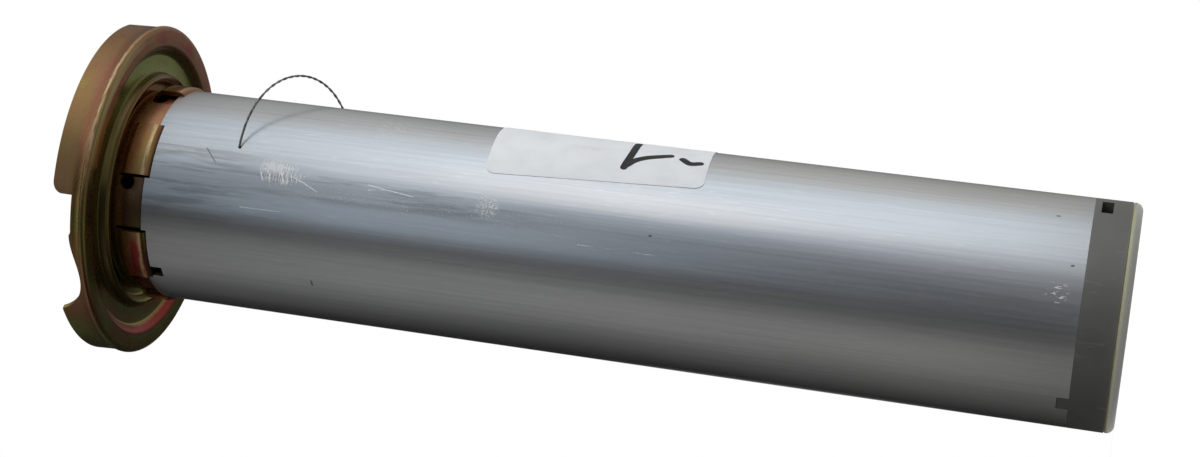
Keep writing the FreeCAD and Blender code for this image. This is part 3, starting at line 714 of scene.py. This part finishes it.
def grown(piece, tree, **values):
    """Runs a Geometry Nodes tree on a piece and keeps what it makes."""
    modifier = piece.modifiers.new(tree.name, "NODES")
    modifier.node_group = tree
    for item in tree.interface.items_tree:
        if item.in_out == "INPUT" and item.name in values:
            modifier[item.identifier] = values[item.name]
    return settled(piece)


repeat_around = repeat_tree()


def repeated(piece, count, start, finish=None):
    """Copies of a piece round Z."""
    return grown(piece, repeat_around, Count=count, Start=math.radians(start), Finish=finish)


def tube_socket():
    """Collar with its tabs joined on and its vents cut."""
    pitch = 360 / tab_count
    slit = math.degrees(tab_slit / tube_bore)
    inner_half = (pitch - outer_tab_span) / 2 - slit
    overlap = tab_root + tab_lap
    collar = swept("collar", rounded(bent_sheet([
        (brim_radius, disc_level, 0),
        (tube_bore, disc_level, socket_bend),
        (tube_bore, tab_root, 0),
    ], socket_sheet)), spread(-180, 180, 2))
    outer_tab = swept("outer_tab", rounded(bent_sheet([
        (tube_bore, overlap, 0),
        (tube_bore, tab_root, press_bend),
        (outer_tab_radius, tab_root - outer_tab_rise, press_bend + socket_sheet),
        (outer_tab_radius, outer_tab_foot, outer_tab_bend),
        (tube_bore - outer_tab_lap, outer_tab_foot, 0),
    ], socket_sheet)), spread(-outer_tab_span / 2, outer_tab_span / 2, 2))
    inner_tab = swept("inner_tab", [
        (tube_bore - socket_sheet, overlap),
        (tube_bore - socket_sheet, inner_tab_foot),
        (tube_bore - inner_tab_lead, inner_tab_foot),
        (tube_bore, inner_tab_foot + 2 * inner_tab_lead),
        (tube_bore, overlap),
    ], spread(-inner_half, inner_half, 2))
    outer_tabs = repeated(outer_tab, tab_count, tab_angle)
    inner_tabs = repeated(inner_tab, tab_count, tab_angle + pitch / 2)
    socket = carved(collar, [united([outer_tabs, inner_tabs])], "UNION")
    vent = rod(vent_radius, *[on_circle(radius, 0, vent_level) for radius in vent_run])
    vents = repeated(vent, tab_count, tab_angle - vent_offset)
    return softened(carved(socket, [vents]), socket_edge)


dressed(tube_socket(), "socket_collar", zinc, ["tube_socket"])

# End cap
# A grey moulded cap. Its spigot is in the tube, its sleeve is flush with the wall, and a lug
# fills each slot in the tube's foot. Two windows and six inlets let the fuel in.

cap_low, cap_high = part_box("end_cap")
cap_foot = cap_low.z
spigot_top = cap_high.z
cap_sleeve = 8.3 * mm
cap_groove = 0.3 * mm
cap_round = 1.9 * mm
spigot_round = 0.4 * mm
cap_bore = tube_radius - 2.6 * mm
cap_floor = cap_foot + 2.2 * mm
cap_fit = 0.1 * mm
boss_radius = 7.6 * mm
nut_well = (5.6 * mm, 5.5 * mm)
rod_radius = 2.0 * mm
cap_window_angle = -22.5
window_size = (7.0 * mm, 2.6 * mm)
window_drop = 1.5 * mm
inlet_radius = 2.0 * mm
inlet_circle = 16.0 * mm
lug_root = 0.5 * mm
cap_edge = 0.12 * mm


def grey_plastic():
    """Moulded plastic with a dull sheen, a little mottled, with handling marks, and a painted
    highlight on the lip below the sleeve.
    """
    material, shader, place = new_finish("grey_plastic")
    mottle = place.noise(160, 3)
    grain = place.noise(4200, 2)
    scuff = place.drawn(0.15).noise(900, 3).rise(0.6, 0.75)
    colour = mottle.mix(paint(112, 112, 109), paint(126, 126, 121))
    colour = (scuff * 0.3).mix(colour, paint(170, 168, 158))
    foot = (tube_foot - cap_sleeve) / mm
    level = place.in_mm()[2]
    # Painted highlight: the lip below the sleeve's groove is painted pale, with a paler line along
    # its top edge.
    lip = level.rise(foot - 0.2, foot - 1.2).mix(paint(204, 204, 170), paint(152, 152, 144))
    colour = level.rise(foot + 0.1, foot - 0.2).mix(colour, lip)
    rough = 0.36 + mottle * 0.1 + scuff * 0.08
    shader.inputs["Metallic"].default_value = 0.35
    return fed(material, shader, base_color=colour, roughness=rough, normal=grain.bump(0.006))


def end_cap():
    """Turned form with its lugs joined on and its windows and inlets cut."""
    sleeve_foot = tube_foot - cap_sleeve
    cap = swept("end_cap", rounded([
        (cap_bore, spigot_top, 0),
        (tube_bore - cap_fit, spigot_top, spigot_round),
        (tube_bore - cap_fit, tube_foot, 0),
        (tube_radius, tube_foot, 0.15 * mm),
        (tube_radius, sleeve_foot, 0),
        (tube_radius - cap_groove, sleeve_foot - cap_groove / 2, 0),
        (tube_radius, sleeve_foot - cap_groove, 0),
        (tube_radius, cap_foot, cap_round),
        (nut_well[0], cap_foot, 0.3 * mm),
        (nut_well[0], cap_foot + nut_well[1], 0),
        (rod_radius, cap_foot + nut_well[1], 0),
        (rod_radius, spigot_top, 0),
        (boss_radius, spigot_top, spigot_round),
        (boss_radius, cap_floor, 0),
        (cap_bore, cap_floor, 0),
    ]), spread(-180, 180, fine_step))
    angle, width, depth = foot_slot
    lug_half = math.degrees((width / 2 - cap_fit) / tube_radius)
    lug_low = tube_foot - lug_root
    section = oblong(tube_bore - lug_root, tube_radius, lug_low, tube_foot + depth - cap_fit)
    lug = swept("lug", section, spread(-lug_half, lug_half, 2))
    cap = carved(cap, [repeated(lug, 2, angle)], "UNION")
    window_top = tube_foot - window_drop
    half = window_size[0] / 2
    corner = (boss_radius + mm, -half, window_top - window_size[1])
    window = block(corner, (tube_radius + mm, half, window_top), 0)
    levels = (cap_foot - mm, cap_floor + mm)
    inlet = rod(inlet_radius, *[on_circle(inlet_circle, 0, level) for level in levels])
    windows = repeated(window, 2, cap_window_angle)
    inlets = repeated(inlet, 6, 0)
    return softened(carved(cap, [windows, inlets]), cap_edge)


dressed(end_cap(), "cap_moulding", grey_plastic(), ["end_cap"])

# Paper label
# A plain white label stuck on the wall at a slight slant. The pen marks on it are only strokes:
# a tick and a short curved dash.

label_width = 34.0 * mm
label_length = 53.0 * mm
label_height = 0.12 * mm
label_corner = 2.4 * mm
label_angle = -17.0
label_level = tube_top - 111.2 * mm
label_slant = math.radians(3.4)
ink_height = 0.03 * mm
pen_width = 1.75 * mm
pen_marks = [
    [(2.9, -7.9), (-5.2, -7.6), (-11.8, -6.6)],
    [(-11.0, -7.0), (-8.6, -8.9), (-6.9, -11.5), (-5.8, -14.3), (-4.9, -16.8)],
    [(-6.2, -19.9), (-8.0, -21.9), (-7.6, -24.3)],
]


def on_label(across, along, height):
    """Point on the label's skin: across it round the tube, and along the tube, from its middle."""
    turned_across = across * math.cos(label_slant) - along * math.sin(label_slant)
    turned_along = across * math.sin(label_slant) + along * math.cos(label_slant)
    angle = label_angle + math.degrees(turned_across / tube_radius)
    return on_circle(tube_radius + height, angle, label_level + turned_along)


def label_paper():
    """Soft white paper, faintly blue, with fibres and a few smudges."""
    material, shader, place = new_finish("label_paper")
    fibre = place.noise(2600, 4, 0.7)
    smudge = place.noise(150, 3)
    colour = smudge.rise(0.35, 0.75).mix(paint(238, 242, 246), paint(232, 235, 238))
    colour = (smudge.rise(0.68, 0.76) * 0.4).mix(colour, paint(206, 207, 202))
    colour = (fibre.rise(0.6, 0.8) * 0.15).mix(colour, paint(205, 208, 210))
    rough = 0.6 + fibre * 0.12
    return fed(material, shader, base_color=colour, roughness=rough, normal=fibre.bump(0.01))


def marker_ink():
    """Black marker, thinner where the pen ran fast."""
    material, shader, place = new_finish("marker_ink")
    thin = place.noise(900, 3)
    colour = thin.rise(0.4, 0.8).mix(paint(30, 30, 31), paint(52, 52, 54))
    return fed(material, shader, base_color=colour, roughness=0.45 + thin * 0.15)


def paper_label():
    """Rounded rectangle bent on the wall."""
    half_width = label_width / 2
    half_length = label_length / 2
    flat = half_width - label_corner
    turns = [label_corner * math.sin(math.radians(angle)) for angle in range(10, 91, 10)]
    steps = spread(-flat, flat, 0.6 * mm)
    steps += [side * (flat + turn) for turn in turns for side in (-1, 1)]
    rings = []
    for across in sorted(steps):
        into = max(0.0, abs(across) - flat)
        end = half_length - label_corner + math.sqrt(max(0.0, label_corner ** 2 - into ** 2))
        corners = oblong(-end, end, 0, label_height)
        rings.append([on_label(across, along, height) for along, height in corners])
    return lofted("paper_label", rings)


def blended(points, weights):
    """Sum of points, each times its weight."""
    return sum((point * weight for point, weight in zip(points, weights)), points[0] * 0)


def pen_mark(name, points, width):
    """Round-ended stroke through points, bent on the label."""
    line = [Vector(point) * mm for point in points]
    line = [line[0] * 2 - line[1]] + line + [line[-1] * 2 - line[-2]]
    path = []
    for i in range(1, len(line) - 2):
        for share in spread(0, 1, 0.1)[:-1]:
            weights = (
                -share + 2 * share ** 2 - share ** 3,
                2 - 5 * share ** 2 + 3 * share ** 3,
                share + 4 * share ** 2 - 3 * share ** 3,
                -share ** 2 + share ** 3,
            )
            path.append(blended(line[i - 1:i + 3], weights) / 2)
    path.append(line[-2])
    rings = []
    for i, here in enumerate(path):
        run = (path[min(i + 1, len(path) - 1)] - path[max(i - 1, 0)]).normalized()
        side = Vector((-run.y, run.x)) * width / 2
        rings.append((here, side))
    ends = [(math.sin(math.radians(a)), math.cos(math.radians(a))) for a in (75, 50, 25)]
    first, first_side = rings[0]
    last, last_side = rings[-1]
    back = Vector((first_side.y, -first_side.x))
    onward = Vector((last_side.y, -last_side.x))
    rings = [(first - back * out, first_side * slim) for out, slim in ends] + rings
    rings += [(last + onward * out, last_side * slim) for out, slim in ends[::-1]]
    made = []
    for here, side in rings:
        skin = oblong(here + side, here - side, label_height / 2, label_height + ink_height)
        made.append([on_label(*point, height) for point, height in skin])
    return lofted(name, made)


dressed(paper_label(), "label", label_paper(), ["paper_label"])
strokes = [pen_mark("stroke", points, pen_width) for points in pen_marks]
dressed(united(strokes), "label_pen_marks", marker_ink(), [])

# Wire loop
# A carrying loop of two thin steel wires. They lie side by side at the near foot and are twisted
# over the rest of the arch. Both ends pass through the wall and turn down inside it.

loop_radius = 0.35 * mm
loop_near_pull = Vector((22.5, 2.8, -0.6)) * mm
loop_far_pull = Vector((20.7, -9.2, 3.9)) * mm
loop_hook = 4.0 * mm
strand_radius = 0.19 * mm
strand_gap = 1.5 * strand_radius


def steel_wire():
    """Dark drawn steel, with lighter rubbed places."""
    material, shader, place = new_finish("steel_wire")
    pale_marks = place.noise(900, 3)
    colour = pale_marks.rise(0.35, 0.65).mix(paint(120, 119, 116), paint(196, 194, 188))
    shader.inputs["Metallic"].default_value = 0.9
    rough = 0.3 + pale_marks * 0.2
    return fed(material, shader, base_color=colour, roughness=rough, normal=pale_marks.bump(0.02))


def twisted_pair_tree():
    """Tree that lays two strands along a line and twists them beyond a share of its length."""
    tree, (line, strand, gap, turns, straight, steps, finish) = new_tree(
        "twisted_pair", Geometry="Geometry", Strand="Float", Gap="Float", Turns="Float",
        Straight="Float", Steps="Int", Finish="Material")
    curve = line.node("GeometryNodeMeshToCurve", {}, {0: line})
    curve = curve.node("GeometryNodeResampleCurve", {}, {"Curve": curve, "Count": steps})
    share = curve.node("GeometryNodeSplineParameter", {}, {}, "Factor")
    past = share.maths("MAXIMUM", share - straight, 0.0)
    tilt = past * turns * (2 * math.pi)
    curve = curve.node("GeometryNodeSetCurveTilt", {}, {"Curve": curve, "Tilt": tilt})
    values = {"Resolution": 8, "Radius": strand}
    circle = strand.node("GeometryNodeCurvePrimitiveCircle", {"mode": "RADIUS"}, values)
    pair = []
    for side in (-0.5, 0.5):
        moved = gap.node("ShaderNodeCombineXYZ", {}, {"X": gap * side})
        values = {"Geometry": circle, "Translation": moved}
        pair.append(circle.node("GeometryNodeTransform", {}, values))
    joined = pair[0].node("GeometryNodeJoinGeometry", {}, {0: pair[0]})
    tree.links.new(pair[1].socket, joined.socket.node.inputs[0])
    values = {"Curve": curve, "Profile Curve": joined, "Fill Caps": True}
    ended(curve.node("GeometryNodeCurveToMesh", {}, values), finish)
    return tree


def wire_loop(finish):
    """Arch from one hole in the wall to the other, with a hook inside at each end."""
    near = on_circle(tube_radius + loop_radius, *loop_near)
    far = on_circle(tube_radius + loop_radius, *loop_far)
    pulls = (near, near + loop_near_pull, far + loop_far_pull, far)
    points = []
    for share in spread(0, 1, 0.02):
        rest = 1 - share
        weights = (rest ** 3, 3 * rest ** 2 * share, 3 * rest * share ** 2, share ** 3)
        points.append(blended(pulls, weights))
    for angle, level in (loop_near, loop_far):
        inside = on_circle(tube_bore - loop_radius, angle, level)
        hook = on_circle(tube_bore - loop_radius, angle, level - loop_hook)
        points = [hook, inside] + points if angle == loop_near[0] else points + [inside, hook]
    mesh = bpy.data.meshes.new("wire_loop")
    mesh.from_pydata(points, [(i, i + 1) for i in range(len(points) - 1)], [])
    return grown(
        placed("wire_loop", mesh), twisted_pair_tree(), Strand=strand_radius, Gap=strand_gap,
        Turns=15.0, Straight=0.3, Steps=420, Finish=finish)


wire = steel_wire()
dressed(wire_loop(wire), "carrying_wire", wire, ["wire_loop"], crease=60)

# Terminal carrier and gasket
# A black moulding on the flange's disc, with the shroud for the plug. It is moulded round the
# blades and rod ends, and seals on a black rubber gasket.


def simple_finish(name, dark, light, metallic, rough, cells, relief, share=1.0):
    """Finish of one stuff: two close tones in clouds, and a fine grain in its gloss and relief."""
    material, shader, place = new_finish(name)
    cloud = place.drawn(share).noise(cells, 3)
    grain = place.drawn(share).noise(cells * 12, 3)
    colour = (cloud * 0.7 + grain * 0.3).rise(0.3, 0.7).mix(paint(*dark), paint(*light))
    shader.inputs["Metallic"].default_value = metallic
    rough = rough - 0.06 + cloud * 0.06 + grain * 0.08
    return fed(material, shader, base_color=colour, roughness=rough, normal=grain.bump(relief))


def refined(node, name, edge, finish, body="housing"):
    """Dresses a copy of a CAD solid: merged, its flat faces made whole, its edges softened."""
    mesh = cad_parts[node].data.copy()
    work = bmesh.new()
    work.from_mesh(mesh)
    bmesh.ops.remove_doubles(work, verts=work.verts, dist=0.002 * mm)
    flat = math.radians(0.6)
    bmesh.ops.dissolve_limit(work, angle_limit=flat, verts=work.verts, edges=work.edges)
    work.to_mesh(mesh)
    work.free()
    dressed(softened(placed(node, mesh), edge * mm), name, finish, [node], body)


moulded_black = simple_finish("black_plastic", (30, 31, 33), (40, 41, 43), 0.0, 0.42, 300, 0.012)
sealing_rubber = simple_finish("gasket_rubber", (34, 34, 35), (46, 46, 47), 0.0, 0.72, 500, 0.02)
refined("terminal_carrier", "carrier_moulding", 0.2, moulded_black)
refined("carrier_gasket", "carrier_seal", 0.12, sealing_rubber)

# Rivets
# Three steel rivets hold the carrier, the gasket, the flange and the socket's brim together.

disc_top = disc_level + flange_sheet
carrier_top = disc_top + 3.4 * mm
rivet_circle = 20.6 * mm
rivet_radius = 1.5 * mm
rivet_head = (2.6 * mm, 1.0 * mm)


def carrier_rivets(finish):
    """One turned rivet, set three times."""
    under = disc_level - socket_sheet
    wide, high = rivet_head
    section = rounded([
        (0, under - high, 0),
        (wide, under - high, high / 2),
        (wide, under, 0),
        (rivet_radius, under, 0),
        (rivet_radius, carrier_top, 0),
        (wide, carrier_top, 0),
        (wide, carrier_top + high, high * 0.8),
        (0, carrier_top + high, 0),
    ])
    rivet = swept("rivet", section, spread(-180, 180, 10))
    rivet.data.transform(Matrix.Translation((rivet_circle, 0, 0)))
    return repeated(rivet, 3, 30, finish)


plated = simple_finish("rivet_steel", (178, 178, 176), (205, 205, 203), 0.95, 0.34, 700, 0.01)
dressed(carrier_rivets(plated), "rivets", plated, ["carrier_rivets"])

# Blade terminals
# Three brass blades for a plug: gauge, warning and earth. Each is stamped from sheet, with a
# pointed lead and a locking hole, and its tongue goes down through the carrier.

brass = simple_finish("blade_brass", (196, 168, 106), (222, 196, 136), 0.95, 0.3, 600, 0.01, 0.2)
for node in ("gauge_terminal", "warning_terminal", "earth_terminal"):
    refined(node, node + "_blade", 0.08, brass)

# Rods and their fastenings
# A bright steel rod guides the float and ties the cap to the carrier, with a nut, a split washer
# and a clip. A thinner one takes the reserve circuit down to the foot.

bright_steel = simple_finish(
    "bright_steel", (186, 188, 190), (214, 216, 218), 0.97, 0.24, 500, 0.006, 0.05)
for node in ("guide_rod", "support_rod", "rod_clip", "rod_washer", "rod_nut"):
    refined(node, node + "_turned", 0.1, bright_steel)

# Foot plate
# A brown disc of insulating board on the cap's spigot, drilled for the fuel.

brown_board = simple_finish("insulating_board", (120, 84, 50), (150, 108, 68), 0.0, 0.5, 400, 0.015)
refined("foot_plate", "foot_board", 0.12, brown_board)

# Resistance wires and contact leaves
# Two fine alloy wires run beside the float, kept tight by sprung bronze leaves on the foot plate.
# Two more leaves meet the float's ring at the foot.

resistance_alloy = simple_finish(
    "resistance_alloy", (150, 146, 140), (176, 172, 166), 0.95, 0.32, 800, 0.004, 0.1)
bronze = simple_finish("contact_bronze", (190, 140, 92), (214, 166, 116), 0.95, 0.3, 500, 0.008)
for node in ("gauge_wire", "earth_wire"):
    refined(node, node + "_drawn", 0.02, resistance_alloy)
for node in ("gauge_leaf", "earth_leaf", "reserve_leaf", "return_leaf"):
    refined(node, node + "_spring", 0.05, bronze)

# Float and bush
# A closed-cell foam float with passages for the rod and the wires, moulded round a pale
# plastic bush.

float_foam = simple_finish("float_foam", (36, 36, 38), (58, 58, 60), 0.0, 0.78, 900, 0.08)
bush_plastic = simple_finish("bush_plastic", (214, 208, 190), (228, 223, 208), 0.0, 0.46, 300, 0.01)
refined("float_body", "float_foam_body", 0.2, float_foam, "float")
refined("float_bush", "float_bush_moulding", 0.15, bush_plastic, "float")

# Contact bridge
# A bronze strip on the float with a sprung finger beside each resistance wire and a silver
# button on each finger. A star clip holds it on the bush, and a ring under the float closes
# the reserve circuit.

silver = simple_finish("contact_silver", (216, 214, 208), (236, 234, 229), 0.97, 0.2, 900, 0.004)
refined("contact_bridge", "bridge_strip", 0.05, bronze, "float")
refined("reserve_ring", "reserve_ring_stamped", 0.04, bronze, "float")
refined("bridge_pads", "bridge_buttons", 0.03, silver, "float")
refined("bridge_clip", "star_clip", 0.06, bright_steel, "float")

# Rubber stops
# Two soft rings on the guide rod, one under the carrier and one over the clip, stop the float.

buffer_rubber = simple_finish("buffer_rubber", (38, 38, 40), (52, 52, 54), 0.0, 0.7, 600, 0.02)
for node in ("lower_buffer", "upper_buffer"):
    refined(node, node + "_ring", 0.15, buffer_rubber)

# Studio
# A pale floor, a wide soft lamp from above the flange's side, a weak one from the other side,
# and cards that only reflections see, because drawn metal shows the room as long bands.

floor_level = cad_low.z
floor_half = 6.0
room_grey = 0.09
card_radius = 1.3
card_top = 2.2
card_hole = 0.03
card_gap = 0.002


def seen_by_eye(tree):
    """1 for camera, glossy and transmission rays, 0 for the rest."""
    rays = Signal(tree).node("ShaderNodeLightPath", {}, {}).socket.node.outputs
    camera, glossy, passed = [
        Signal(tree, rays[f"Is {kind} Ray"]) for kind in ("Camera", "Glossy", "Transmission")]
    return camera | glossy | passed


def grey(level, tint=(1.0, 1.0, 1.0)):
    """Linear grey of a level, or a tint of it."""
    return (level * tint[0], level * tint[1], level * tint[2], 1.0)


def floor_finish():
    """Pale floor that keeps the shadow and shows white to the eye."""
    material, shader, place = new_finish("studio_floor")
    x, y, z = place.split()
    away = ((x * x + y * y) ** 0.5).rise(0.35, 0.9).mix(grey(0.88), grey(0.99))
    glow = seen_by_eye(material.node_tree).mix(grey(0), away)
    shader.inputs["Base Color"].default_value = grey(0.28)
    shader.inputs["Roughness"].default_value = 0.9
    shader.inputs["Emission Strength"].default_value = 1.0
    return fed(material, shader, emission_color=glow)


corner = (-floor_half, -floor_half, floor_level - 0.01)
floor = block(corner, (floor_half, floor_half, floor_level), 0)
floor.name = "studio_floor"
floor.data.materials.append(floor_finish())


def card_finish():
    """Grey card whose brightness changes with its direction from the tube, in degrees from -Y.

    The wall has two rows of levels, for the flange's end and for the cap's end.
    """
    material, shader, place = new_finish("studio_card")
    tree = material.node_tree
    x, y, z = place.split()
    turned = x.maths("ARCTAN2", x, y * -1) / (2 * math.pi) + 0.5
    below = [
        (-180, 0.06), (-166, 0.04), (-157, 0.015), (-150, 0.01), (-134, 0.03),
        (-118, 0.06), (-102, 0.1), (-89, 0.145), (-77, 0.195), (-60, 0.222),
    ]
    flange_end = [
        (-45, 0.202), (-33, 0.115), (-23, 0.09), (-14, 0.17), (-7, 0.37),
        (14, 0.38), (21, 0.33), (29, 0.36), (37, 0.5), (45, 0.66),
    ]
    cap_end = [
        (-45, 0.194), (-33, 0.105), (-23, 0.07), (-7, 0.078), (7, 0.105),
        (14, 0.13), (21, 0.175), (29, 0.285), (37, 0.45), (45, 0.62),
    ]
    above = [
        (52, 0.78), (60, 0.86), (77, 0.89), (86, 0.87), (97, 0.74),
        (110, 0.56), (123, 0.46), (140, 0.38), (165, 0.2), (180, 0.06),
    ]

    def wall_of(middle, blue, warm):
        """Ramp round the wall: blue in front, warm below and behind, cool above."""
        stops = []
        for angle, level in below + middle + above:
            tint = (1.0, 1.0, warm)
            if -20 < angle < 40:
                tint = blue
            elif 0 < angle < 105:
                tint = (0.92, 1.0, 1.07)
            stops.append(((angle + 180) / 360, grey(level, tint)))
        return turned.ramp(stops)

    by_flange = wall_of(flange_end, (0.87, 1.0, 1.14), 0.99)
    by_cap = wall_of(cap_end, (0.93, 1.0, 1.11), 0.96)
    wall = (z.rise(-0.03, 0.24) * z.rise(0.59, 0.43)).mix(by_cap, by_flange)
    top = z.rise(0.42, 0.56) * turned.rise(0.22, 0.34) * (0.52 - turned.near(0.58, 0.06) * 0.42)
    wall = top.mix(wall, grey(0))
    window = turned.near(0.5, 0.045) * z.near(0.4, 0.09) * 0.4
    wall = window.mix(wall, (0.42, 0.56, 0.68, 1))
    glint = turned.near(0.655, 0.06) * z.near(0.14, 0.16) * 0.6
    wall = glint.mix(wall, (1.3, 1.26, 1.27, 1))
    back = (turned.rise(0.07, 0.04) | turned.rise(0.93, 0.96)) * z.near(0.0, 0.16)
    wall = back.mix(wall, grey(0.2))
    ground = (x / 0.28 + 0.5).ramp([(0.0, grey(0.02)), (0.4, grey(0.05)), (1.0, grey(0.3))])
    close = ((x * x + y * y) ** 0.5).rise(0.26, 0.12)
    ground = close.mix(ground, (0.13, 0.125, 0.12, 1))
    light = z.rise(floor_level + 0.004, floor_level + 0.008).mix(ground, wall)
    glow = light.node("ShaderNodeEmission", {}, {"Color": light})
    tree.links.new(glow.socket, tree.nodes["Material Output"].inputs["Surface"])
    return material


card_foot = floor_level + card_gap
card_under = card_foot - card_gap / 2
card_back = card_radius + 0.01
cards = swept("studio_cards", [
    (card_hole, card_foot), (card_radius, card_foot), (card_radius, card_top),
    (card_back, card_top), (card_back, card_under), (card_hole, card_under),
], spread(-180, 180, 5))
cards.data.materials.append(card_finish())
cards.visible_camera = False
cards.visible_diffuse = False
cards.visible_transmission = False
cards.visible_shadow = False

world = bpy.data.worlds.new("studio")
world.use_nodes = True
bpy.context.scene.world = world
background = world.node_tree.nodes["Background"]
strength = seen_by_eye(world.node_tree) * (1 - room_grey) + room_grey
world.node_tree.links.new(strength.socket, background.inputs["Strength"])
background.inputs["Color"].default_value = (1, 1, 1, 1)


def lamp(name, place, aim, size, power):
    """Square soft lamp that reflections don't see."""
    light = bpy.data.lights.new(name, "AREA")
    light.size = size
    light.energy = power
    holder = placed(name, light)
    holder.location = place
    holder.rotation_euler = (Vector(aim) - Vector(place)).to_track_quat("-Z", "Y").to_euler()
    holder.visible_glossy = False


middle = (cad_low + cad_high) / 2
lamp("key", (0.96, -0.47, 0.78), middle, 1.0, 19.5)
lamp("fill", (-0.9, -0.8, 0.3), middle, 0.9, 1.0)

camera = bpy.data.cameras.new("camera")
camera.lens = 71.61
camera.sensor_width = 36.0
camera.shift_x = 0.1647
camera.shift_y = 0.01334
camera.clip_start = 0.02
viewer = placed("camera", camera)
viewer.location = (8.75 * mm, -578.5 * mm, -243.2 * mm)
viewer.rotation_euler = (math.radians(156.045), math.radians(71.613), math.radians(66.313))
bpy.context.scene.camera = viewer
bpy.context.scene.view_settings.view_transform = "Standard"
